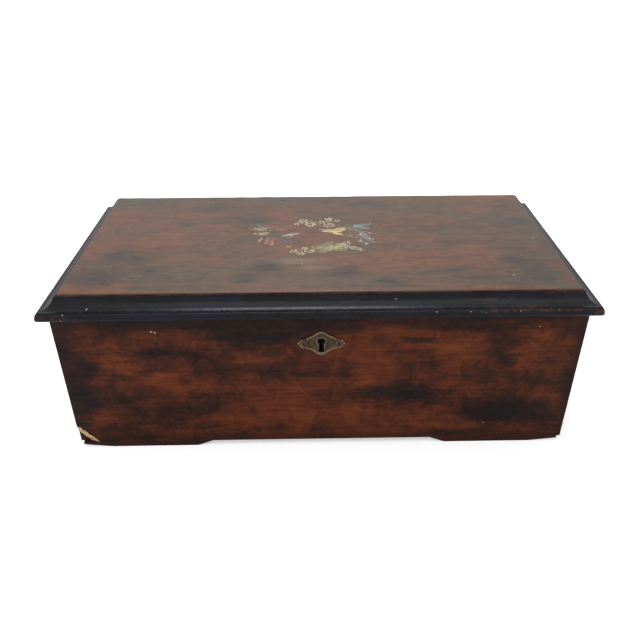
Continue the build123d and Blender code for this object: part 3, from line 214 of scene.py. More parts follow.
def seenBy(tree, *rays):
    # 1 for light paths of these kinds, 0 for the others
    total = 0.0
    for ray in rays:
        total = calc("MAXIMUM", add(tree, "ShaderNodeLightPath", output=ray), total)
    return total


class Shade:
    # a material and the nodes of its looks; places are object coordinates, in metres
    def __init__(self, name, settings=None):
        self.material = bpy.data.materials.new(name)
        self.material.use_nodes = True
        self.tree = self.material.node_tree
        self.settings = settings or {}
        self.colour = None

    def add(self, kind, inputs=None, output=0, **settings):
        return add(self.tree, kind, inputs, output, **settings)

    def place(self, scale=(1, 1, 1), shift=(0, 0, 0)):
        where = self.add("ShaderNodeTexCoord", output="Object")
        return self.add("ShaderNodeMapping", {"Vector": where, "Location": shift, "Scale": scale})

    def axes(self):
        parts = self.add("ShaderNodeSeparateXYZ", {0: self.place()}).socket.node.outputs
        return [Value(part) for part in parts]

    def noise(self, scale, detail=4.0, roughness=0.55, distortion=0.0, shift=(0, 0, 0), output=0):
        # scale is waves to the metre, one number or one for each axis
        where = self.place((scale,) * 3 if np.isscalar(scale) else scale, shift)
        inputs = {"Vector": where, "Scale": 1.0, "Detail": detail, "Roughness": roughness, "Distortion": distortion}
        return self.add("ShaderNodeTexNoise", inputs, output)

    def paint(self, colour):
        # a colour as it is, or one of the settings by its name
        return self.settings[colour] if isinstance(colour, str) else colour

    def ramp(self, value, stops):
        # a colour ramp; a stop is its position and a colour or grey
        colours = self.add("ShaderNodeValToRGB", {"Fac": value})
        elements = colours.socket.node.color_ramp.elements
        while len(elements) < len(stops):
            elements.new(1.0)
        for element, (position, colour) in zip(elements, stops):
            colour = self.paint(colour)
            element.position = position
            element.color = (colour,) * 3 + (1,) if np.isscalar(colour) else tuple(colour) + (1,)
        return colours

    def step(self, value, low, high, outLow=0.0, outHigh=1.0):
        # goes smoothly from outLow to outHigh while the value goes from low to high
        inputs = {"Value": value, "From Min": low, "From Max": high, "To Min": outLow, "To Max": outHigh}
        return self.add("ShaderNodeMapRange", inputs, interpolation_type="SMOOTHSTEP")

    def mix(self, share, a, b, blend="MIX"):
        a, b = (part if isinstance(part, Value) else tuple(part)[:3] + (1,) for part in (a, b))
        return self.add("ShaderNodeMix", {"Factor": share, 6: a, 7: b}, 2, data_type="RGBA", blend_type=blend)

    def lay(self, share, colour, blend="MIX"):
        # lays one more colour over what is there so far
        self.colour = self.mix(share, self.colour, self.paint(colour), blend)

    def arris(self, low, high):
        # how far a point of a box's surface is from its nearest arris: the middle one of its distances to the faces
        a, b, c = (calc("ABSOLUTE", calc("MINIMUM", axis - start, end - axis))
                   for axis, start, end in zip(self.axes(), low.tolist(), high.tolist()))
        least = calc("MINIMUM", calc("MINIMUM", a, b), c)
        most = calc("MAXIMUM", calc("MAXIMUM", a, b), c)
        return a + b + c - least - most

    def spots(self, places, facing, wander=None, seed=0.0, inner=0.55, outer=1.2):
        # a mask of soft patches on a face that looks along "y" or "z"; a place is across, up, half width and half
        # height in mm; wander is how far noise pulls the outlines about, in metres
        where = self.add("ShaderNodeTexCoord", output="Object")
        if wander:
            jitter = self.noise((16, 45, 45), 4.0, 0.5, shift=(seed,) * 3, output="Color")
            pull = {0: jitter, 1: tuple(2 * w for w in wander), 2: tuple(-w for w in wander)}
            pull = self.add("ShaderNodeVectorMath", pull, operation="MULTIPLY_ADD")
            where = self.add("ShaderNodeVectorMath", {0: where, 1: pull}, operation="ADD")
        total = 0.0
        for across, up, halfWidth, halfHeight in places:
            size = (1 / (halfWidth * mm), 1 / (halfHeight * mm))
            back = (-across / halfWidth, -up / halfHeight)
            size, back = ((v[0], 0.0, v[1]) if facing == "y" else (*v, 0.0) for v in (size, back))
            near = self.add("ShaderNodeVectorMath", {0: where, 1: size, 2: back}, operation="MULTIPLY_ADD")
            length = self.add("ShaderNodeVectorMath", {0: near}, "Value", operation="LENGTH")
            total = calc("MAXIMUM", self.step(length, inner, outer, 1.0, 0.0), total)
        return total

    def done(self, roughness, bump=None, extra=None):
        # sets the shader's inputs; bump is heights, strength and distance
        inputs = {"Base Color": self.colour, "Roughness": roughness, "Specular IOR Level": 0.5, **(extra or {})}
        if "specular" in self.settings:
            inputs["Specular IOR Level"] = self.settings["specular"]
        if bump:
            inputs["Normal"] = self.add("ShaderNodeBump", dict(zip(("Height", "Strength", "Distance"), bump)))
        for key, value in inputs.items():
            plug(self.tree, self.tree.nodes["Principled BSDF"], key, value)
        return self.material


# waves to the metre across and along the grain, for boards along each axis
grain = {
    "x": {"cloud": (9, 27, 25), "streak": (9, 120, 120), "fibre": (45, 800, 800)},
    "y": {"cloud": (27, 9, 25), "streak": (120, 9, 120), "fibre": (800, 45, 800)},
}

frontWood = {
    "dark": (0.0140, 0.0062, 0.0050),
    "brown": (0.044, 0.0130, 0.0070),
    "red": (0.118, 0.0255, 0.0090),
    "orange": (0.180, 0.047, 0.0115),
    # colour of the dark clouds, also laid as painted shade along the front's top, under the moulding
    "cloud": (0.0120, 0.0085, 0.0082),
    "speck": (0.24, 0.15, 0.09),
    "chip": (0.40, 0.30, 0.21),
    # near-black painted shade inside the keyhole
    "hole": (0.004, 0.003, 0.003),
    "specular": 0.12,
    "roughness": 0.36,
}

footWood = {**frontWood, "red": frontWood["brown"], "orange": (0.070, 0.018, 0.008)}

# marks of the front: across, up, half width and half height in mm; the wide dark bands along the top are partly the
# wood's own dark strip and partly painted shade under the moulding's overhang
frontMarks = {
    "orange": [(-179, 102, 19, 11), (-146, 80, 40, 9), (-34, 61, 40, 17), (49, 91, 25, 22), (127, 108, 21, 20),
               (189, 112, 17, 20), (-62, 100, 24, 10), (105, 34, 36, 10), (-60, 34, 70, 9), (30, 40, 30, 10)],
    "dark": [(-142, 108, 24, 9), (91, 119, 17, 5), (170, 97, 11, 6), (73, 62, 48, 9), (181, 40, 58, 13),
             (-228, 82, 16, 62), (238, 74, 12, 62), (-40, 140, 190, 10), (-60, 128, 60, 6)],
    "chips": [(-149, 133, 1.2, 0.8), (-146, 132, 0.7, 1.2), (157, 24, 0.6, 0.5), (193, 134, 0.7, 0.6)],
    # painted shade in the keyhole, behind the escutcheon
    "hole": [(0, 118.5, 8, 10.5)],
}


def polishedWood(name, low, high, along="x", settings=frontWood, marks=None, seed=0.0):
    # old red-brown polish over figured veneer: orange patches, dark clouds, streaks, fibre, specks, worn arrises;
    # painted shade under the moulding and in the keyhole
    shade, roughness = Shade(name, settings), settings["roughness"]
    cloudScale = grain[along]["cloud"]
    shift = (seed, seed * 0.7, seed * 1.3)
    clouds = shade.noise(cloudScale, 5.0, 0.6, 0.6, shift)
    streaks = shade.noise(grain[along]["streak"], 6.0, 0.65, 0.8, shift)
    fibre = shade.noise(grain[along]["fibre"], 3.0, 0.6)
    mottle = shade.noise(75, 5.0, 0.65, 0.8, shift)
    figure = clouds * 0.44 + streaks * 0.20 + mottle * 0.36
    if marks:
        warm = shade.spots(marks["orange"], "y", (0.030, 0.030, 0.016), 2.0, 0.2, 1.5)
        # dark patches of the figure, and along the top a band that is partly painted shade under the moulding
        darkPatchesAndShade = shade.spots(marks["dark"], "y", (0.034, 0.034, 0.018), 5.0, 0.2, 1.5)
        figure = figure + warm * 0.085 - darkPatchesAndShade * 0.090
        cloudAndShadeMask = darkPatchesAndShade * 0.42
    else:
        broad = shade.noise(tuple(0.4 * scale for scale in cloudScale), 3.0, 0.5, 0.3, shift)
        cloudAndShadeMask = shade.step(broad, 0.50, 0.66, 0.0, 0.70)
    shade.colour = shade.ramp(figure, [(0.36, "dark"), (0.46, "brown"), (0.56, "red"), (0.68, "orange")])
    # the cloud colour, which along the front's top is partly painted shade under the moulding
    shade.lay(cloudAndShadeMask, "cloud")
    shade.lay(shade.step(streaks, 0.58, 0.74, 0.0, 0.22), "dark")
    shade.lay(0.36, shade.ramp(fibre, [(0.35, 0.20), (0.65, 1.0)]), "MULTIPLY")
    arris = shade.arris(low, high)
    rub = shade.step(shade.noise(55), 0.50, 0.62)
    shade.lay(shade.step(arris, 0.0, 0.0018, 1.0, 0.0) * rub, "orange")
    shade.lay(shade.step(arris, 0.001, 0.014, 0.55, 0.0), "dark")
    shade.lay(shade.step(shade.noise(420, 2.0), 0.735, 0.76, 0.0, 0.6), "speck")
    if marks:
        shade.lay(shade.spots(marks["chips"], "y", inner=0.8, outer=1.15), "chip")
        # painted shade in the keyhole
        shade.lay(shade.spots(marks["hole"], "y", inner=0.8, outer=1.0), "hole")
    rough = shade.step(clouds, 0.3, 0.7, roughness - 0.06, roughness + 0.14)
    return shade.done(rough, (streaks * 0.6 + fibre * 0.4, 0.25, 0.00025))


lidTop = {
    "brown": (0.110, 0.057, 0.0310),
    "red": (0.168, 0.063, 0.0325),
    "grey": (0.088, 0.061, 0.0405),
    "blue": (0.018, 0.0225, 0.0235),
    "dark": (0.026, 0.0135, 0.0100),
    "worn": (0.115, 0.036, 0.0180),
    "haze": (0.26, 0.22, 0.145),
    "speck": (0.30, 0.24, 0.17),
    "chip": (0.55, 0.52, 0.46),
    "specular": 0.25,
    "roughness": 0.30,
}

lidMarks = {
    "blue": [(-196, -34, 18, 15), (-178, -38, 12, 9), (-205, -76, 26, 17), (-154, -64, 12, 8), (-144, 39, 10, 7),
             (-75, 54, 22, 18), (-55, -58, 18, 12), (-62, -76, 14, 8), (20, -68, 15, 10), (65, -87, 13, 8),
             (131, 34, 11, 6), (128, -69, 12, 9), (184, -50, 14, 10), (198, -62, 16, 12), (204, -80, 20, 10),
             (-110, 84, 24, 9), (60, 92, 28, 9), (205, 40, 16, 10)],
    "red": [(-150, 8, 22, 22), (66, 24, 8, 9), (90, -21, 18, 10), (144, -23, 15, 9), (-100, -40, 22, 8),
            (175, 78, 26, 12), (-190, 60, 16, 12), (60, -60, 24, 7)],
    "rubbed": [(-22, -46, 30, 9), (-6, -58, 22, 5)],
    "chips": [(174, -78, 0.6, 0.8), (214, 0, 0.5, 0.7), (-17, -52, 0.6, 0.8)],
}


def lidWood(name, low, high):
    # the top's hazy polish: streaks along X, reddish and blue-grey patches, a worn red front arris, a rubbed place
    shade, roughness = Shade(name, lidTop), lidTop["roughness"]
    clouds = shade.noise((7, 20, 20), 4.0, 0.55, 0.5)
    reds = shade.noise((6, 24, 20), 4.0, 0.55, 0.4, (3.1, 1.7, 0))
    streaks = shade.noise((12, 150, 60), 6.0, 0.7, 0.7)
    wide = shade.noise((8, 52, 60), 5.0, 0.65, 0.6, (1.3, 0, 0))
    mottle = shade.noise((70, 130, 70), 5.0, 0.7, 0.6)
    fibre = shade.noise((60, 900, 400), 4.0, 0.65)
    scratches = shade.noise((14, 700, 60), 3.0, 0.6)
    redMask = shade.spots(lidMarks["red"], "z", (0.020, 0.012, 0), 3.0)
    redMask = calc("MAXIMUM", redMask, shade.step(reds, 0.54, 0.70))
    blueMask = shade.spots(lidMarks["blue"], "z", (0.030, 0.016, 0), 8.0, 0.1, 1.55)
    blueMask = blueMask * shade.step(streaks, 0.38, 0.60, 1.0, 0.55)
    shade.colour = shade.ramp(clouds, [(0.36, "grey"), (0.50, "brown"), (0.66, "red")])
    shade.lay(redMask * 0.70, "red")
    shade.lay(shade.step(wide, 0.48, 0.66, 0.0, 0.50), "grey")
    shade.lay(shade.step(streaks, 0.46, 0.68, 0.0, 0.34), "dark")
    shade.lay(shade.step(mottle, 0.44, 0.66, 0.0, 0.40), "dark")
    shade.lay(blueMask * 0.92, "blue")
    shade.lay(0.50, shade.ramp(fibre, [(0.35, 0.35), (0.65, 1.15)]), "MULTIPLY")
    rubbed = shade.spots(lidMarks["rubbed"], "z", (0.012, 0.006, 0), 6.0, 0.1, 1.4)
    rubbed = rubbed * shade.step(scratches, 0.40, 0.62, 0.25, 1.0)
    shade.lay(rubbed * 0.40, "haze")
    ragged = shade.arris(low, high) + (wide - 0.5) * 0.006
    shade.lay(shade.step(ragged, 0.0002, 0.0016, 0.9, 0.0), "worn")
    shade.lay(shade.step(shade.noise(330, 2.0), 0.74, 0.765, 0.0, 0.5), "speck")
    shade.lay(shade.spots(lidMarks["chips"], "z", inner=0.75, outer=1.1), "chip")
    rough = shade.step(blueMask, 0.0, 1.0, roughness + 0.08, roughness - 0.04)
    return shade.done(rough, (streaks * 0.7 + fibre * 0.3, 0.22, 0.0003))


ebony = {
    "black": (0.0042, 0.0038, 0.0048),
    # a painted reflection: the bluish sheen of the moulding's cove, laid into its colour
    "blue": (0.0085, 0.0095, 0.0170),
    "worn": (0.070, 0.026, 0.013),
    "bare": (0.22, 0.13, 0.07),
    "speck": (0.42, 0.38, 0.33),
    "specular": 0.19,
    "roughness": 0.22,
}

# pale specks and rubbed places of the moulding's front: across, up, half width, half height in mm
mouldingMarks = {
    "specks": [(-200, 157.6, 0.6, 0.35), (-219, 155.6, 0.6, 0.35), (-221, 151, 0.4, 0.4), (64.4, 161.5, 0.8, 0.4),
               (98.6, 155, 1.1, 0.25), (127.7, 155, 0.6, 0.25), (170.4, 155, 0.8, 0.25), (203, 155.4, 0.5, 0.2)],
    "rubbed": [(178, 155.6, 60, 1.5), (150, 161, 34, 0.9), (214, 165.5, 18, 1.4), (-226, 152, 14, 3),
               (236, 153, 10, 3)],
}


def ebonised(name, hasEdge):
    # black stain under polish, mottled with a blue tint that is a painted reflection of the cove's bluish sheen, with
    # pale specks; where the mesh has edge values, rubbed brown along them
    shade, roughness = Shade(name, ebony), ebony["roughness"]
    mottle = shade.noise((26, 26, 60), 5.0, 0.6, 0.4)
    fine = shade.noise(160, 4.0, 0.65)
    # black mottled with the blue of the painted reflection
    shade.colour = shade.ramp(mottle, [(0.38, "black"), (0.66, "blue")])
    if hasEdge:
        edge = shade.add("ShaderNodeAttribute", output="Fac", attribute_name="edge")
        patchy = edge + (fine - 0.5) * 1.5 + (mottle - 0.5) * 1.1
        shade.lay(shade.step(patchy, 0.80, 1.05), "worn")
        shade.lay(shade.step(patchy, 1.16, 1.34), "bare")
    cells = {"Vector": shade.place((75, 75, 75)), "Scale": 1.0}
    dots = shade.step(shade.add("ShaderNodeTexVoronoi", cells, "Distance", feature="F1"), 0.030, 0.055, 1.0, 0.0)
    shade.lay(dots * shade.step(shade.noise(33, 2.0), 0.56, 0.62), "speck")
    if hasEdge:
        rubbed = shade.spots(mouldingMarks["rubbed"], "y", (0.020, 0.004, 0.004), 7.0, 0.1, 1.5)
        shade.lay(rubbed * shade.step(fine, 0.44, 0.60, 0.10, 0.75), "worn")
        shade.lay(shade.spots(mouldingMarks["specks"], "y", inner=0.7, outer=1.1), "speck")
    rough = shade.step(fine, 0.3, 0.7, roughness - 0.05, roughness + 0.12)
    return shade.done(rough, (mottle + fine * 0.35, 0.3, 0.0004))


def plainWood(name, base, dark, along="x"):
    # inside wood: plain, a little dusty, with straight grain
    shade = Shade(name)
    streaks = shade.noise(grain[along]["streak"], 6.0, 0.65, 0.7)
    fibre = shade.noise(grain[along]["fibre"], 3.0, 0.6)
    clouds = shade.noise(grain[along]["cloud"], 3.0)
    shade.colour = shade.ramp(streaks * 0.65 + clouds * 0.35, [(0.36, dark), (0.60, base)])
    shade.lay(0.3, shade.ramp(fibre, [(0.35, 0.4), (0.65, 1.0)]), "MULTIPLY")
    rough = shade.step(clouds, 0.3, 0.7, 0.47, 0.65)
    return shade.done(rough, (streaks, 0.3, 0.0003), {"Specular IOR Level": 0.3})


def bareWood(name):
    # the pale wood of the broken corner
    shade = Shade(name)
    fibre = shade.noise((60, 700, 700), 4.0, 0.6)
    shade.colour = shade.ramp(fibre, [(0.35, (0.36, 0.20, 0.08)), (0.62, (0.72, 0.52, 0.27))])
    return shade.done(0.8, (fibre, 0.5, 0.0004))


def metal(name, bright, dull, stain, roughness, lines="x", stainShare=0.5):
    # worked metal: drawn or turned lines, tarnish in soft clouds, small pits
    shade = Shade(name)
    clouds = shade.noise(70, 5.0, 0.6, 0.3)
    drawn = shade.noise(tuple(60 if axis == lines else 2600 for axis in "xyz"), 2.0, 0.6)
    pits = shade.step(shade.noise(900, 2.0), 0.66, 0.74)
    shade.colour = shade.ramp(clouds, [(0.34, dull), (0.60, bright)])
    shade.lay(shade.step(clouds, 0.56, 0.76, 0.0, stainShare), stain)
    shade.lay(pits * 0.5, stain)
    rough = shade.step(clouds, 0.3, 0.75, roughness - 0.07, roughness + 0.18)
    return shade.done(rough, (drawn + pits, 0.25, 0.00006), {"Metallic": 1.0})


def tarnished(name):
    # the escutcheon's dull grey-brown brass: dark in the hollows, and pale pinkish grey on the raised parts, partly
    # rubbed brass and partly a painted highlight
    shade = Shade(name)
    relief = shade.add("ShaderNodeAttribute", output="Fac", attribute_name="relief")
    patches = shade.noise(210, 5.0, 0.65, 0.4)
    fine = shade.noise(1400, 3.0, 0.6)
    # the upper stops, on the rim, ring and bosses, are partly a painted highlight
    stops = [(0.05, (0.036, 0.022, 0.009)), (0.40, (0.106, 0.064, 0.025)), (0.72, (0.165, 0.114, 0.068)),
             (1.0, (0.280, 0.210, 0.155))]
    shade.colour = shade.ramp(relief + (patches - 0.5) * 1.1, stops)
    shade.lay(shade.step(patches, 0.50, 0.68, 0.0, 0.7), (0.110, 0.060, 0.015))
    rough = shade.step(fine, 0.3, 0.7, 0.42, 0.62)
    return shade.done(rough, (patches + fine * 0.5, 0.4, 0.00012), {"Metallic": 0.55})


def clearGlass(name):
    # thin old glass: a slow waver and fine dust
    shade = Shade(name)
    waver = shade.noise(14, 2.0, 0.5, 0.5)
    dust = shade.step(shade.noise(260), 0.45, 0.75, 0.02, 0.10)
    shade.colour = (0.93, 0.97, 0.95, 1)
    return shade.done(dust, (waver, 0.12, 0.0006), {"Transmission Weight": 1.0, "IOR": 1.46})


def ruledCard(name, low, high):
    # cream card with plain ruled lines and no writing, browned towards its edges
    shade = Shade(name)
    across = calc("DIVIDE", shade.axes()[1] - float(low[1]), float(high[1] - low[1]))
    line = calc("ABSOLUTE", calc("FRACT", across * 9.0) - 0.5)
    arris = shade.arris(low, high)
    ruled = shade.step(line, 0.018, 0.032, 1.0, 0.0) * shade.step(arris, 0.009, 0.010)
    border = shade.step(calc("ABSOLUTE", arris - 0.0065), 0.0004, 0.0007, 1.0, 0.0)
    fibres = shade.noise(800, 3.0)
    shade.colour = shade.ramp(shade.noise(45, 6.0, 0.65), [(0.30, (0.60, 0.50, 0.32)), (0.58, (0.78, 0.70, 0.52))])
    shade.lay(shade.step(arris, 0.0, 0.02, 0.6, 0.0), (0.40, 0.28, 0.14))
    shade.lay(calc("MAXIMUM", ruled, border), (0.16, 0.10, 0.07))
    return shade.done(shade.step(fibres, 0.3, 0.7, 0.72, 0.9), (fibres, 0.3, 0.0001))


def paintedInlay(name):
    # worn colour laid on the lid: each leaf's own tint, thin and rubbed through in places
    shade = Shade(name)
    tint = shade.add("ShaderNodeAttribute", output="Color", attribute_name="tint")
    worn = shade.noise(900, 4.0, 0.65)
    clouds = shade.noise(150)
    share = shade.step(worn * 0.6 + clouds * 0.4, 0.50, 0.60, 0.0, 0.7)
    shade.colour = shade.mix(share, tint, (0.085, 0.050, 0.034))
    rough = shade.step(clouds, 0.3, 0.7, 0.38, 0.55)
    return shade.done(rough, (worn, 0.2, 0.0001))


# Camera, light and floor

# fitted to the photograph's straight edges: pixels, degrees and metres
camera = {"focalPixels": 650.0, "imagePixels": 640.0, "centreX": 322.4, "pitch": 32.0, "yaw": 1.09, "roll": -0.09,
          "place": (-0.0082, -0.5915, 0.4430), "sensor": 36.0}


def makeCamera():
    data = bpy.data.cameras.new("camera")
    data.sensor_width = camera["sensor"]
    data.lens = camera["focalPixels"] / camera["imagePixels"] * camera["sensor"]
    data.shift_x = -(camera["centreX"] - camera["imagePixels"] / 2) / camera["imagePixels"]
    pitch, yaw, roll = (math.radians(camera[key]) for key in ("pitch", "yaw", "roll"))
    # without a turn a camera looks straight down; it is rolled, tipped up and then turned to the right
    tipped = Matrix.Rotation(math.pi / 2 - pitch, 4, "X") @ Matrix.Rotation(roll, 4, "Z")
    turn = Matrix.Rotation(-yaw, 4, "Z") @ tipped
    holder = bpy.data.objects.new("camera", data)
    holder.matrix_world = Matrix.Translation(camera["place"]) @ turn
    scene.collection.objects.link(holder)
    scene.camera = holder


studio = {
    "worldLight": 0.62,
    "lamps": [
        {"name": "softTop", "place": (0.1, -0.5, 1.7), "aim": (0, 0, 0.1), "size": (1.6, 1.2), "power": 7.5},
        {"name": "softLeft", "place": (-1.3, -0.9, 0.9), "aim": (0, 0, 0.08), "size": (0.9, 0.9), "power": 6.0},
        {"name": "window", "place": (-0.06, 0.75, 1.45), "aim": (-0.03, -0.1, 0.155), "size": (0.66, 0.85),
         "power": 11.0},
    ],
    "floorSize": 6.0,
    "floorGlow": 0.46,
}


def makeStudio():
    world = bpy.data.worlds.new("studio")
    scene.world = world
    world.use_nodes = True
    tree = world.node_tree
    seen = seenBy(tree, "Is Camera Ray", "Is Glossy Ray", "Is Transmission Ray")
    plug(tree, tree.nodes["Background"], "Color", (1.0, 1.0, 1.0, 1))
    plug(tree, tree.nodes["Background"], "Strength", seen * (1.0 - studio["worldLight"]) + studio["worldLight"])
    for lamp in studio["lamps"]:
        data = bpy.data.lights.new(lamp["name"], "AREA")
        data.shape = "RECTANGLE"
        data.size, data.size_y = lamp["size"]
        data.energy = lamp["power"]
        holder = bpy.data.objects.new(lamp["name"], data)
        holder.location = lamp["place"]
        away = Vector(lamp["aim"]) - Vector(lamp["place"])
        holder.rotation_euler = away.to_track_quat("-Z", "Y").to_euler()
        scene.collection.objects.link(holder)
    shade = Shade("paleFloor")
    glow = seenBy(shade.tree, "Is Camera Ray", "Is Transmission Ray") * studio["floorGlow"]
    shade.colour = shade.ramp(shade.noise(3, 2.0), [(0.3, 0.86), (0.7, 0.88)])
    light = {"Specular IOR Level": 0.1, "Emission Color": (1, 1, 1, 1), "Emission Strength": glow}
    material = shade.done(0.9, None, light)
    half = studio["floorSize"]
    points = [(-half, -half, 0), (half, -half, 0), (half, half, 0), (-half, half, 0)]
    floor = makeMesh("floor", points, [(0, 1, 2, 3)], material, smooth=False)


makeCamera()
makeStudio()
scene.view_settings.view_transform = "Standard"
print("camera, light and floor made")

# Finishes of the box

caseLow = np.minimum(corners("front_board")[0], corners("feet")[0])
caseHigh = corners("back_board")[1]
panelLow, panelHigh = corners("lid_panel")
frontLow, frontHigh = corners("front_board")
lidUnderside = corners("lid_frame")[0][2]

finishes = {
    "front": polishedWood("frontPolish", frontLow, frontHigh, marks=frontMarks),
    "side": polishedWood("sidePolish", caseLow, caseHigh, "y", seed=4.0),
    "back": polishedWood("backPolish", caseLow, caseHigh, seed=9.0),
    "foot": polishedWood("footPolish", caseLow - 0.1, caseHigh + 0.1, settings=footWood, seed=9.0),
    "bare": bareWood("bareWood"),
    "lid": lidWood("lidPolish", panelLow, panelHigh),
    "ebony": ebonised("ebonisedMoulding", True),
    "plainEbony": ebonised("ebonisedFrame", False),
    "insideX": plainWood("insideWoodAlong", (0.27, 0.135, 0.06), (0.12, 0.055, 0.025)),
    "insideY": plainWood("insideWoodAcross", (0.25, 0.125, 0.056), (0.11, 0.05, 0.023), "y"),
    "glass": clearGlass("clearGlass"),
    "card": ruledCard("creamCard", *corners("tune_card")),
    "escutcheon": tarnished("tarnishedBrass"),
    "inlay": paintedInlay("paintedInlay"),
}

# each metal's bright, dull and stained colours, roughness, direction of its lines and share of stain
metals = {
    "brass": ("lacqueredBrass", (0.78, 0.57, 0.25), (0.55, 0.38, 0.15), (0.20, 0.12, 0.05), 0.26, "x", 0.5),
    "oldBrass": ("oldBrass", (0.34, 0.27, 0.16), (0.18, 0.13, 0.07), (0.07, 0.05, 0.03), 0.42, "x", 0.5),
    "steel": ("groundSteel", (0.38, 0.38, 0.39), (0.25, 0.25, 0.26), (0.15, 0.12, 0.10), 0.33, "y", 0.45),
    "blueSteel": ("bluedSteel", (0.10, 0.12, 0.20), (0.06, 0.07, 0.12), (0.05, 0.04, 0.04), 0.28, "y", 0.3),
    "iron": ("bronzedIron", (0.50, 0.40, 0.24), (0.36, 0.28, 0.17), (0.14, 0.10, 0.07), 0.45, "x", 0.4),
    "lockIron": ("lockIron", (0.040, 0.043, 0.040), (0.020, 0.021, 0.019), (0.018, 0.013, 0.009), 0.55, "z", 0.5),
    "darkNail": ("darkNail", (0.060, 0.042, 0.022), (0.030, 0.020, 0.010), (0.018, 0.012, 0.007), 0.5, "z", 0.5),
}
finishes.update({key: metal(*settings) for key, settings in metals.items()})
print("finishes made")

# the CAD nodes of each finish; all the others are brass
nodeFinish = {
    "front": ["front_board"],
    "foot": ["feet"],
    "side": ["left_board", "right_board"],
    "back": ["back_board", "lid_frame"],
    "lid": ["lid_panel"],
    "plainEbony": ["glass_frame", "winding_handle", "front_moulding", "side_mouldings"],
    "insideX": ["bottom_board"],
    "insideY": ["left_partition", "right_partition", "bearers"],
    "oldBrass": ["case_hinge_leaves", "lid_hinge_leaves", "hinge_pins", "strike_plate", "escutcheon"],
    "steel": ["comb", "click_plate", "winding_lever", "drive_pawl", "click", "barrel_arbor", "ratchet_wheel",
              "cylinder_arbor", "cylinder_pins", "snail", "endless_screw", "lock_bolt", "case_hinge_screws",
              "lid_hinge_screws"],
    "blueSteel": ["comb_screws", "movement_screws", "mainspring"],
    "iron": ["bedplate"],
    "lockIron": ["lock_case"],
    "darkNail": ["escutcheon_nails"],
    "glass": ["glass_pane"],
    "card": ["tune_card"],
}
finishOf = {name: finish for finish, names in nodeFinish.items() for name in names}
for name, node in nodes.items():
    node.data.materials.clear()
    node.data.materials.append(finishes[finishOf.get(name, "brass")])

bodyOf = {name: body for body, names in frame["record"]["behaviour"]["bodies"].items() for name in names}


def standIn(piece, name):
    # the piece moves with the body of the CAD node that it stands for
    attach(piece, bodyOf[name])
    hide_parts(name)


# Lid: panel, moulding, ornament

panel = {"arris": 1.0 * mm, "arrisWear": 0.55 * mm, "sag": 0.10 * mm, "arcSteps": 5, "columns": 150, "rows": 80}


def stations(low, high, drop, steps, count):
    # positions across a slab with the arris turned down at both ends: place, turn (0 flat to 1 at the side), depth
    turn = np.linspace(1, 0, steps)
    flat = np.linspace(0, 1, count + 2)[1:-1]
    place = np.concatenate([[low], np.full(steps, low), low + flat * (high - low), np.full(steps, high), [high]])
    angle = np.concatenate([[1.0], turn, np.zeros(count), turn[::-1], [1.0]]) * math.pi / 2
    side = np.concatenate([np.full(steps + 1, 1.0), np.zeros(count), np.full(steps + 1, -1.0)])
    depth = np.concatenate([[drop], np.zeros(2 * steps + count), [drop]])
    return place, angle, side, depth


def makePanel():
    # a slab: each row and column runs up one side, round the arris by angle, over the top and down again;
    # a point is the place moved in by r(1 - sin angle) and down by r(1 - cos angle), r uneven from wear
    low, high = panelLow, panelHigh
    thickness = high[2] - low[2]
    columns = stations(low[0], high[0], thickness, panel["arcSteps"], panel["columns"])
    px, ax, sx, dx = (column[:, None] for column in columns)
    py, ay, sy, dy = stations(low[1], high[1], thickness, panel["arcSteps"], panel["rows"])
    radius = panel["arris"] + panel["arrisWear"] * np.clip(waves(px, py, 3, 0.02) + waves(px, py, 4, 0.09), -0.9, 2.0)
    x = px + sx * radius * (1 - np.sin(ax))
    y = py + sy * radius * (1 - np.sin(ay))
    z = high[2] - radius * (1 - np.cos(ax)) - radius * (1 - np.cos(ay)) * (ax < 1.5)
    z = z - panel["sag"] * (0.5 + 0.5 * waves(px, py, 5, 0.16)) * (dx + dy == 0)
    z = np.where(np.maximum(dx, dy) > 0, low[2], z)
    points = np.stack([x, y, z], -1)
    piece = makeMesh("lidPanelPolished", points, gridFaces(*x.shape), finishes["lid"])
    refine(piece, 1e-7, close=True)
    standIn(piece, "lid_panel")


moulding = {"runStep": 2.4 * mm, "cornerEase": 0.7 * mm, "cornerReach": 4.0 * mm, "cornerDepth": 5.0 * mm,
            "wornReach": 14.0 * mm, "cornerWear": 0.75, "dent": 0.10 * mm}


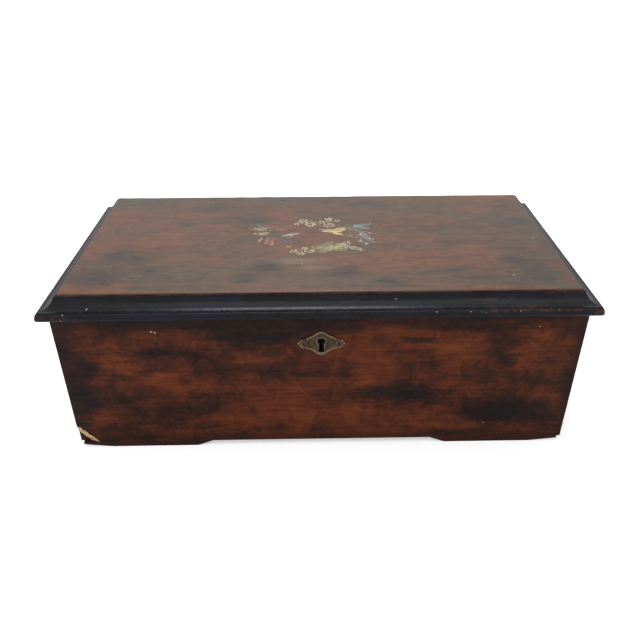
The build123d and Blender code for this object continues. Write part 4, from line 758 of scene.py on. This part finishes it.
def mouldingProfile():
    # the section, as distance out from the panel's edge and height, and how worn it is, from 0 to 1: a flat
    # underside, a low nose with a nearly upright face, a small quirk, a deep cove, a flat top edge; worked in mm,
    # with w the nose's reach and heights over the lid's underside
    w = (panelLow[1] - corners("front_moulding")[0][1]) / mm
    top = (corners("front_moulding")[1][2] - lidUnderside) / mm

    def arc(start, middle, end, count):
        # points on the circle through three places
        (ax, ay), (bx, by), (cx, cy) = start, middle, end
        d = 2 * (ax * (by - cy) + bx * (cy - ay) + cx * (ay - by))
        ux = ((ax**2 + ay**2) * (by - cy) + (bx**2 + by**2) * (cy - ay) + (cx**2 + cy**2) * (ay - by)) / d
        uy = ((ax**2 + ay**2) * (cx - bx) + (bx**2 + by**2) * (ax - cx) + (cx**2 + cy**2) * (bx - ax)) / d
        radius = math.hypot(ax - ux, ay - uy)
        angles = np.unwrap([math.atan2(y - uy, x - ux) for x, y in (start, middle, end)])
        sweep = np.linspace(angles[0], angles[2], count)
        return np.stack([ux + radius * np.cos(sweep), uy + radius * np.sin(sweep)], -1)

    noseLow = arc((w - 1.5, 0), (w - 0.4, 1.0), (w, 2.4), 6)
    noseHigh = arc((w, 2.4), (w - 0.35, 4.7), (w - 1.1, 6.3), 7)
    noseTop = arc((w - 1.1, 6.3), (w - 1.6, 6.85), (w - 2.5, 7.1), 6)
    cove = arc((w - 2.6, 8.0), (5.1, 10.75), (1.6, top), 17)
    section = np.concatenate([[(0.4 * w, 0)], noseLow, noseHigh[1:], noseTop[1:], [(w - 2.56, 7.5)], cove,
                              [(0.8, top), (0, top), (0, 0)]])
    out, height = section.T
    edge = np.exp(-((height - 5.6) / 2.6) ** 2) * 0.30 * (out > w - 2.2)
    edge += np.exp(-((out - (w - 3.2)) / 0.7) ** 2) * 0.20 * (height > 7.6)
    edge += np.exp(-((out - 1.2) / 1.0) ** 2) * 0.30 * (height > 15)
    return out * mm, lidUnderside + height * mm, edge


def makeMouldings():
    # the section carried along the three sides; the ends run to the mitre, where both directions give way alike
    out, height, edge = mouldingProfile()
    frontY, backY = panelLow[1], panelHigh[1]
    sideX = panelHigh[0]
    for name, side in (("frontMouldingRun", 0), ("leftMouldingRun", -1), ("rightMouldingRun", 1)):
        length = 2 * sideX if side == 0 else backY - frontY
        count = int(length / moulding["runStep"])
        s = np.linspace(0, 1, count)[:, None]
        if side == 0:
            x = -(sideX + out) + 2 * (sideX + out) * s
            y = np.broadcast_to(frontY - out, x.shape)
            toCorner = sideX + out.max() - np.abs(x)
        else:
            y = (frontY - out) + (backY - frontY + out) * s
            x = np.broadcast_to(side * (sideX + out), y.shape)
            toCorner = y - (frontY - out.max())
        z = np.broadcast_to(height, x.shape).copy()
        x, y = x.copy(), y.copy()
        reach = moulding["cornerReach"]
        isNose = out > out.max() - moulding["cornerDepth"]
        ease = moulding["cornerEase"] * np.clip(1 - toCorner / reach, 0, 1) ** 2 * isNose
        x -= np.sign(x) * ease * 0.9
        y += ease * 0.9
        dent = moulding["dent"] * (waves(x + y, z * 3, 11 + side, 0.012) + waves(x + y, z, 21 + side, 0.05))
        dent = dent * (out > 2 * mm) * (height > lidUnderside + 1 * mm) * (out < out.max() - 0.2 * mm)
        if side == 0:
            y += np.abs(dent)
        else:
            x -= side * np.abs(dent)
        atCorner = np.clip(1 - toCorner / moulding["wornReach"], 0, 1) ** 2
        worn = np.broadcast_to(edge, x.shape) + moulding["cornerWear"] * atCorner
        points = np.stack([x, y, z], -1)
        faces = gridFaces(count, len(out), closeColumns=True)
        piece = makeMesh(name, points, faces, finishes["ebony"], values={"edge": worn})
        refine(piece, 0, close=True, sharp=50)
        standIn(piece, "front_moulding" if side == 0 else "side_mouldings")


wreath = {
    "thickness": 0.07 * mm,
    "rows": 7,
    "columns": 6,
    "tints": {
        "cream": (0.42, 0.36, 0.230), "blush": (0.37, 0.235, 0.180), "gold": (0.50, 0.39, 0.155),
        "olive": (0.27, 0.23, 0.095), "green": (0.16, 0.165, 0.085), "teal": (0.115, 0.205, 0.170),
        "ice": (0.25, 0.265, 0.28), "violet": (0.125, 0.100, 0.140), "red": (0.25, 0.095, 0.060),
        "dustyRed": (0.19, 0.072, 0.046), "rust": (0.16, 0.060, 0.036),
    },
    # the whole is drawn about this place, made this much smaller and moved, in mm
    "centre": (-5.0, 5.0), "scale": (0.89, 0.92), "shift": (-1.0, 2.5),
    # stems: from x, y to x, y, the bow to its left, the width; all in mm on the lid's top
    "stems": [
        (-66, 14, -22, 17, -3.0, 0.9, "green"), (-64, 22, -24, 20, 2.0, 0.7, "green"),
        (-62, 4, -40, 14, -3.0, 0.8, "green"), (-52, 0, -38, 14, -2.0, 0.7, "green"),
        (-42, 6, -19, 14, 1.5, 3.4, "cream"), (-60, 30, -34, 20, 2.0, 0.6, "green"),
        (-30, 24, -22, 44, 3.0, 0.7, "olive"), (-22, 36, 2, 50, -4.0, 0.6, "green"),
        (8, 50, 32, 38, -4.0, 0.6, "green"), (30, 36, 52, 24, -3.0, 0.7, "green"),
        (54, 20, 40, -8, -4.0, 0.7, "rust"), (46, -2, 24, -14, -2.0, 0.8, "rust"),
        (42, -12, 18, -6, 2.0, 0.7, "rust"), (20, -20, -24, -26, 3.0, 0.7, "olive"),
        (-24, -24, -40, -6, 3.0, 0.6, "green"), (-6, -28, 30, -12, 3.0, 0.8, "olive"),
        (16, 30, 40, 26, 2.0, 0.8, "olive"),
    ],
    # fronds: from x, y to x, y, bow, leaves, leaf length, leaf width, spread in degrees, tint
    "fronds": [
        (-26, 21, -62, 34, -2, 34, 9.0, 1.5, 40, "dustyRed"), (-24, 24, -48, 42, -2, 22, 7.5, 1.4, 44, "rust"),
        (-34, 22, -66, 24, 1, 24, 6.5, 1.2, 40, "dustyRed"), (-60, 26, -70, 40, 1, 12, 5.0, 1.4, 44, "teal"),
        (-56, 26, -72, 28, 1, 14, 7.0, 1.1, 42, "cream"), (-54, 16, -72, 14, 1, 16, 6.5, 1.1, 46, "cream"),
        (-8, -26, 18, -8, 1, 22, 6.5, 1.3, 58, "olive"), (-2, -30, 34, -20, 1, 30, 8.0, 1.6, 62, "olive"),
        (12, -22, 36, -10, -1, 20, 6.5, 1.3, 60, "gold"), (0, -20, 30, -28, -1, 24, 7.5, 1.5, 62, "olive"),
        (8, -28, 30, -14, 1, 22, 6.5, 1.4, 66, "cream"), (28, -18, 48, -30, 1, 14, 6.5, 1.9, 54, "cream"),
        (40, 30, 62, 38, 1, 18, 5.5, 1.5, 48, "teal"), (36, 28, 54, 16, -1, 16, 5.0, 1.5, 50, "teal"),
        (42, 34, 60, 24, 1, 16, 4.5, 1.4, 55, "ice"), (50, 14, 62, -10, -1, 20, 5.0, 1.5, 55, "ice"),
    ],
    # blooms: x, y, radius, petals, petal width, tint, heart tint
    "blooms": [
        (-16, 48, 6.5, 7, 2.6, "cream", "olive"), (-8, 38, 7.0, 8, 2.8, "cream", "gold"),
        (-24, 40, 4.0, 5, 2.0, "cream", "olive"), (6, 44, 5.0, 6, 2.4, "cream", "olive"),
        (14, 52, 5.5, 7, 2.4, "cream", "gold"), (14, 36, 7.5, 8, 3.0, "blush", "gold"),
        (24, 48, 4.0, 5, 2.0, "cream", "olive"), (44, 34, 4.0, 5, 2.0, "teal", "ice"),
        (52, 28, 3.6, 5, 1.9, "teal", "ice"), (36, 8, 4.6, 5, 2.2, "teal", "green"),
        (50, 12, 3.2, 5, 1.7, "ice", "gold"), (56, 0, 3.6, 5, 1.8, "ice", "cream"),
        (48, -6, 3.4, 5, 1.8, "ice", "gold"), (54, -14, 3.0, 5, 1.6, "ice", "cream"),
        (60, 14, 3.0, 5, 1.6, "ice", "gold"), (-26, -30, 4.6, 5, 2.2, "cream", "gold"),
        (-18, -36, 4.4, 5, 2.2, "cream", "olive"), (-14, -24, 4.0, 5, 2.0, "cream", "gold"),
        (-6, -30, 3.6, 5, 1.9, "cream", "gold"), (-32, -20, 3.2, 5, 1.6, "blush", "gold"),
        (4, -22, 3.4, 5, 1.8, "blush", "gold"),
    ],
    # leaves laid singly: x, y, length, width, direction in degrees, tint
    "leaves": [
        (-62, 5, 15, 4.6, -106, "red"), (-55, 5, 19, 4.8, -100, "red"), (-48, 7, 25, 5.2, -97, "red"),
        (-63, 1, 10, 2.6, -106, "blush"), (-56, -1, 12, 2.8, -100, "blush"), (-49, -2, 16, 3.0, -97, "blush"),
        (4, 19, 19, 5.2, 6, "gold"), (8, 24, 16, 4.6, -14, "gold"), (15, 16, 17, 5.0, -20, "gold"),
        (18, 23, 17, 4.8, 20, "gold"), (9, 19, 20, 4.6, -6, "gold"), (21, 18, 14, 4.2, 30, "gold"),
        (13, 21, 15, 1.4, -10, "olive"), (7, 20, 14, 1.2, 2, "olive"), (1, 24, 12, 2.8, -6, "olive"),
        (25, 20, 11, 2.8, 48, "gold"), (11, 16, 12, 2.6, -8, "olive"),
    ],
    # loose small petals: x, y, half width, half height, how many, length, width, tint
    "scatter": [
        (-36, -4, 9, 12, 34, 3.2, 1.6, "violet"), (-30, 6, 6, 5, 12, 3.0, 1.5, "ice"),
        (52, 2, 10, 15, 26, 3.0, 1.5, "ice"), (46, 30, 12, 8, 22, 3.0, 1.5, "teal"),
        (0, 44, 28, 8, 22, 3.4, 1.4, "cream"), (-16, -30, 14, 7, 26, 3.0, 1.5, "cream"),
        (14, -20, 20, 10, 26, 4.0, 1.4, "olive"), (-62, 24, 8, 16, 16, 3.6, 1.3, "green"),
        (44, 0, 12, 14, 12, 3.0, 1.3, "rust"),
    ],
    "seed": 31,
}


def wreathLeaves():
    # every stroke as x, y, direction, length, width, bend (turn from end to end) and tint, in metres and radians
    random = np.random.default_rng(wreath["seed"])
    strokes, tints = [], []

    def stroke(x, y, direction, length, width, bend, tint):
        (cx, cy), (kx, ky), (dx, dy) = (wreath[key] for key in ("centre", "scale", "shift"))
        x, y, size = cx + dx + (x - cx) * kx, cy + dy + (y - cy) * ky, math.sqrt(kx * ky)
        strokes.append((x * mm, y * mm, direction, length * size * mm, width * mm, bend))
        tints.append(np.array(wreath["tints"][tint]) * random.uniform(0.72, 1.22))

    for x0, y0, x1, y1, bow, width, tint in wreath["stems"]:
        run = math.hypot(x1 - x0, y1 - y0)
        bend = 8 * bow / run
        stroke(x0, y0, math.atan2(y1 - y0, x1 - x0) + bend / 2, run * (1 + (bow / run) ** 2 * 8 / 3), width, -bend,
               tint)
    for x0, y0, x1, y1, bow, count, length, width, spread, tint in wreath["fronds"]:
        run, heading = math.hypot(x1 - x0, y1 - y0), math.atan2(y1 - y0, x1 - x0)
        stroke(x0, y0, heading + 4 * bow / run, run, 0.7, -8 * bow / run, "green")
        for index in range(count):
            u = (index + 0.5) / count
            side = 1 if index % 2 else -1
            off = 4 * bow * u * (1 - u)
            x = x0 + (x1 - x0) * u - math.sin(heading) * off
            y = y0 + (y1 - y0) * u + math.cos(heading) * off
            turn = heading + side * math.radians(spread) * random.uniform(0.75, 1.25)
            size = length * (1.05 - 0.5 * u) * random.uniform(0.8, 1.15)
            stroke(x, y, turn, size, width, -side * random.uniform(0.0, 0.3), tint)
    for x, y, radius, petals, width, tint, heart in wreath["blooms"]:
        start = random.uniform(0, 2 * math.pi)
        for index in range(petals):
            turn = start + 2 * math.pi * index / petals + random.uniform(-0.15, 0.15)
            reach = 0.22 * radius
            stroke(x + reach * math.cos(turn), y + reach * math.sin(turn), turn,
                   radius * random.uniform(0.7, 0.95), width, random.uniform(-0.5, 0.5), tint)
        for index in range(3):
            turn = start + 2.1 * index
            stroke(x - 0.7 * math.cos(turn), y - 0.7 * math.sin(turn), turn, 1.6, 1.1, 0.0, heart)
    for x, y, length, width, direction, tint in wreath["leaves"]:
        stroke(x, y, math.radians(direction), length, width, random.uniform(-0.3, 0.3), tint)
    for x, y, halfWidth, halfHeight, count, length, width, tint in wreath["scatter"]:
        for index in range(count):
            turn, reach = random.uniform(0, 2 * math.pi), math.sqrt(random.uniform(0, 1))
            stroke(x + halfWidth * reach * math.cos(turn), y + halfHeight * reach * math.sin(turn),
                   random.uniform(0, 2 * math.pi), length * random.uniform(0.7, 1.2), width,
                   random.uniform(-0.6, 0.6), tint)
    return np.array(strokes), np.array(tints)


def makeWreath():
    # each stroke is a flat lens: its middle line turns evenly from end to end, its half width is the sine of the way
    # along to the power 0.7, and its section is an ellipse of 6 points half sunk in the lid
    strokes, tints = wreathLeaves()
    x, y, heading, length, width, bend = (strokes[:, k, None] for k in range(6))
    u = np.linspace(0, 1, wreath["rows"])[None, :]
    step = length / (wreath["rows"] - 1)
    turn = heading + bend * (u - 0.5 / (wreath["rows"] - 1))
    along = np.cumsum(np.where(u > 0, step * np.cos(turn), 0), axis=1) + x
    across = np.cumsum(np.where(u > 0, step * np.sin(turn), 0), axis=1) + y
    half = 0.5 * width * np.clip(np.sin(math.pi * u), 0, 1) ** 0.7 * (1.12 - 0.24 * u)
    around = (np.arange(wreath["columns"]) + 0.5) * 2 * math.pi / wreath["columns"]
    sideways = heading + bend * u + math.pi / 2
    px = along[..., None] + half[..., None] * np.cos(sideways)[..., None] * np.cos(around)
    py = across[..., None] + half[..., None] * np.sin(sideways)[..., None] * np.cos(around)
    lift = wreath["thickness"] * (0.35 + 0.65 * half / half.max(axis=1, keepdims=True)) * (half > 0)
    # later strokes lie a hair over earlier ones, so crossings don't fight
    layer = (np.arange(len(strokes)) % 5)[:, None, None] * 0.006 * mm
    pz = panelHigh[2] - 0.02 * mm + lift[..., None] * np.sin(around) + layer
    points = np.stack([px, py, pz], -1)
    leaf = gridFaces(wreath["rows"], wreath["columns"], closeColumns=True)
    starts = np.arange(len(strokes))[:, None, None] * wreath["rows"] * wreath["columns"]
    tint = np.concatenate([tints, np.ones((len(tints), 1))], 1)
    tint = np.repeat(tint, wreath["rows"] * wreath["columns"], axis=0)
    faces = (leaf[None] + starts).reshape(-1, 4)
    piece = makeMesh("paintedWreath", points, faces, finishes["inlay"], values={"tint": tint})
    refine(piece)
    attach(piece, "lid")


makePanel()
makeMouldings()
makeWreath()
print("lid panel, mouldings and wreath made")

# Escutcheon

escutcheon = {
    # right half of the outline in mm from the plate's middle, from the top to the foot
    "outline": [(0.0, 12.8), (3.4, 11.8), (6.2, 9.3), (9.8, 7.5), (13.2, 5.1), (15.6, 3.6), (18.2, 4.3), (20.2, 2.2),
                (21.9, 0.0), (19.5, -3.3), (16.6, -5.1), (13.4, -5.5), (9.8, -6.8), (6.4, -9.2), (3.0, -11.9),
                (0.0, -13.1)],
    "footReach": 13.2 * mm, "keyholeRise": 2.0 * mm, "keyholeRadius": 3.5 * mm, "slotHalf": 2.3 * mm,
    "slotFoot": -9.5 * mm, "nailX": 15.6 * mm,
    # heights over the board, then widths, and how far in from the edges the crests stand
    "field": 0.92 * mm, "rim": 1.40 * mm, "ring": 1.30 * mm, "boss": 1.40 * mm, "edge": 0.3 * mm,
    "rimWidth": 1.9 * mm, "ringWidth": 1.2 * mm, "bossRadius": 1.9 * mm, "rimInset": 0.8 * mm, "ringInset": 0.6 * mm,
    "scallops": 30, "scallopDepth": 1.0 * mm, "columns": 420, "rows": 26,
}


def keyholeReach(angle):
    # distance from the plate's middle to the keyhole's edge: the farther of the round head's and the slot's
    rise, radius = escutcheon["keyholeRise"], escutcheon["keyholeRadius"]
    c, s = np.cos(angle), np.sin(angle)
    head = rise * s + np.sqrt(np.maximum((rise * s) ** 2 - rise**2 + radius**2, 0))
    side = escutcheon["slotHalf"] / np.maximum(np.abs(c), 1e-6)
    end = np.where(s < 0, escutcheon["slotFoot"] / np.minimum(s, -1e-6), rise / np.maximum(s, 1e-6))
    return np.maximum(head, np.minimum(side, end))


def outlineReach(angle):
    # distance from the plate's middle to the outline: its corners joined by straight lines, smoothed a little
    half = np.array(escutcheon["outline"]) * mm
    ring = np.concatenate([half, half[-2:0:-1] * (-1, 1)])
    ring = np.concatenate([ring, ring[:1]])
    place = np.linspace(0, len(ring) - 1, 1601)[:-1]
    x = np.interp(place, np.arange(len(ring)), ring[:, 0])
    y = np.interp(place, np.arange(len(ring)), ring[:, 1])
    turns = np.mod(np.arctan2(y, x), 2 * math.pi)
    order = np.argsort(turns)
    reach = np.interp(angle, turns[order], np.hypot(x, y)[order], period=2 * math.pi)
    kernel = np.hanning(9)
    wrapped = np.concatenate([reach[-8:], reach, reach[:8]])
    return np.convolve(wrapped, kernel / kernel.sum(), "same")[8:-8]


def makeEscutcheon():
    # a grid in angle and in share of the way from the keyhole's edge to the outline; its height over the board is a
    # field with a rounded rim and keyhole ring, bosses at the nails, and shallow ripples; walls run down to the board
    settings = escutcheon
    low, high = corners("escutcheon")
    middle = low[2] + settings["footReach"]
    angle = np.arange(settings["columns"]) * 2 * math.pi / settings["columns"]
    inner, outer = keyholeReach(angle), outlineReach(angle)
    scallop = settings["scallopDepth"] * (1 - np.abs(np.cos(angle * settings["scallops"] / 2))) ** 1.5
    outer = outer - scallop
    share = np.linspace(0, 1, settings["rows"])
    share = (share + 0.5 - 0.5 * np.cos(math.pi * share)) / 2
    reach = inner + (outer - inner) * share[:, None]
    fromKeyhole, fromOutline = reach - inner, outer - reach
    x, z = reach * np.cos(angle), reach * np.sin(angle)
    rim = np.exp(-((fromOutline - settings["rimInset"]) / (0.5 * settings["rimWidth"])) ** 2)
    rim = rim * (0.70 + 0.30 * np.abs(np.cos(angle * settings["scallops"] / 2)))
    ring = np.exp(-((fromKeyhole - settings["ringInset"]) / (0.5 * settings["ringWidth"])) ** 2)
    boss = np.exp(-(np.hypot(np.abs(x) - settings["nailX"], z) / settings["bossRadius"]) ** 4)
    slant = np.cos((np.abs(x) - z * 0.6) * 2 * math.pi / (2.3 * mm))
    ripple = 0.10 * mm * waves(x, z, 41, 0.0026) + 0.07 * mm * slant
    height = settings["field"] + ripple * (1 - rim) * (1 - ring) * (1 - boss)
    for crest, level in ((rim, settings["rim"]), (ring, settings["ring"]), (boss, settings["boss"])):
        height = height + crest * (level - height)
    isEnd = np.minimum(fromKeyhole, fromOutline) < 0.02 * mm
    height = np.clip(height - 0.25 * mm * isEnd, settings["edge"], settings["rim"])
    relief = np.clip((height - 0.86 * mm) / (0.5 * mm), 0, 1)
    board = high[1]
    y = board - height
    x, z, y, relief = (np.concatenate([part[:1], part, part[-1:]]) for part in (x, z, y, relief))
    y[0] = y[-1] = board
    points = np.stack([x, y, z + middle], -1)
    faces = gridFaces(*x.shape, closeRows=True, closeColumns=True)
    piece = makeMesh("escutcheonRelief", points, faces, finishes["escutcheon"], values={"relief": relief})
    refine(piece)
    shadeSmooth(piece, 55)
    standIn(piece, "escutcheon")


makeEscutcheon()
print("escutcheon made")

# Case: boards with eased arrises, and the chip at the front left foot

# the splintered lower left corner of the front: where the break meets its left side and foot, slope and depth
chip = {"side": 21.5 * mm, "foot": 19.5 * mm, "slope": 6.6 * mm, "depth": 2.7 * mm, "splinter": 0.55 * mm,
        "steps": 26}


def breakCorner(board):
    # takes a splintered wedge off the board's lower left corner: its outline on the face and on the floor behind are
    # straight lines with ragged waves, joined by a slope of bare wood
    low, high = frontLow, frontHigh
    t = np.linspace(-0.12, 1.12, chip["steps"])
    ragged = chip["splinter"] * (waves(t, t * 0, 51, 0.16) + 0.5 * waves(t, t * 0, 52, 0.05))
    x = low[0] + t * chip["foot"]
    z = low[2] + (1 - t) * chip["side"]
    away = np.array([chip["side"], chip["foot"]]) / math.hypot(chip["side"], chip["foot"])
    over, past = 1.0 * mm, -30.0 * mm
    before, face, floor = low[1] - over, low[1], low[1] + chip["depth"]
    rows = []
    # how far each line lies towards the board's middle, how ragged it is, and its depth
    for push, rag, y in ((0.6 * over, 1, before), (0, 1, face), (-chip["slope"], 0.6, floor), (past, 0, floor),
                         (past, 0, before)):
        shift = push + ragged * rag
        rows.append(np.stack([x + away[0] * shift, np.full_like(x, y), z + away[1] * shift], -1))
    points = np.stack(rows)
    cutter = makeMesh("cornerCutter", points, gridFaces(len(rows), len(x), closeRows=True), finishes["bare"], False)
    cutter.data.materials.append(finishes["back"])
    isSlope = np.repeat(np.arange(len(rows)) == 1, len(x) - 1)
    cutter.data.polygons.foreach_set("material_index", (~isSlope).astype(np.int32))
    refine(cutter, 0, close=True)
    cut = board.modifiers.new("corner", "BOOLEAN")
    cut.operation, cut.solver, cut.object, cut.material_mode = "DIFFERENCE", "EXACT", cutter, "TRANSFER"
    applyModifiers(board)
    bpy.data.objects.remove(cutter)


for width, names in (("boards", ["left_board", "right_board", "back_board"]),
                     ("inside", ["left_partition", "right_partition", "glass_frame", "lid_frame", "bearers"]),
                     ("boards", ["front_board"])):
    for name in names:
        piece = softened(name, easing[width])
        if name == "front_board":
            breakCorner(piece)
            shadeSmooth(piece, 30)
        standIn(piece, name)
print("boards eased and the corner broken")

# Cylinder: its many small pins

music = {"teeth": 72, "toothPitch": 3.0 * mm, "airs": 6, "airStep": 0.45 * mm, "notes": 8, "radius": 26.0 * mm,
         "height": 0.9 * mm, "sunk": 0.2 * mm, "pinHalf": 0.17 * mm, "seed": 7}


def makeMusicPins():
    # one four-sided peg per note: its corners stand around a place on the cylinder given by x and angle
    random = np.random.default_rng(music["seed"])
    low, high = corners("cylinder")
    axisY, axisZ = (low[1:] + high[1:]) / 2
    combStart = corners("comb")[0][0]
    tooth, air, note = np.meshgrid(*(np.arange(music[key]) for key in ("teeth", "airs", "notes")), indexing="ij")
    x = combStart + (tooth + 0.5) * music["toothPitch"] + (air - 2.5) * music["airStep"]
    angle = (note + random.uniform(0.1, 0.9, note.shape)) * 2 * math.pi / music["notes"] + tooth * 0.7 + air * 1.9
    x, angle = x.ravel(), angle.ravel()
    half = music["pinHalf"]
    du = np.array([-1, 1, 1, -1]) * half
    dv = np.array([-1, -1, 1, 1]) * half
    foot, head = music["radius"] - music["sunk"], music["radius"] + music["height"]
    radius = np.array([foot, head])[None, :, None]
    slim = np.array([1.0, 0.8])[None, :, None]
    px = x[:, None, None] + du * slim + radius * 0
    c, s = np.cos(angle)[:, None, None], np.sin(angle)[:, None, None]
    py = axisY + radius * c - dv * slim * s
    pz = axisZ + radius * s + dv * slim * c
    points = np.stack([px, py, pz], -1)
    peg = np.array([(0, 1, 5, 4), (1, 2, 6, 5), (2, 3, 7, 6), (3, 0, 4, 7), (4, 5, 6, 7), (3, 2, 1, 0)])
    faces = (peg[None] + np.arange(len(x))[:, None, None] * 8).reshape(-1, 4)
    piece = makeMesh("musicPins", points, faces, finishes["steel"], smooth=False)
    refine(piece)
    standIn(piece, "cylinder_pins")


makeMusicPins()
print("music pins made")
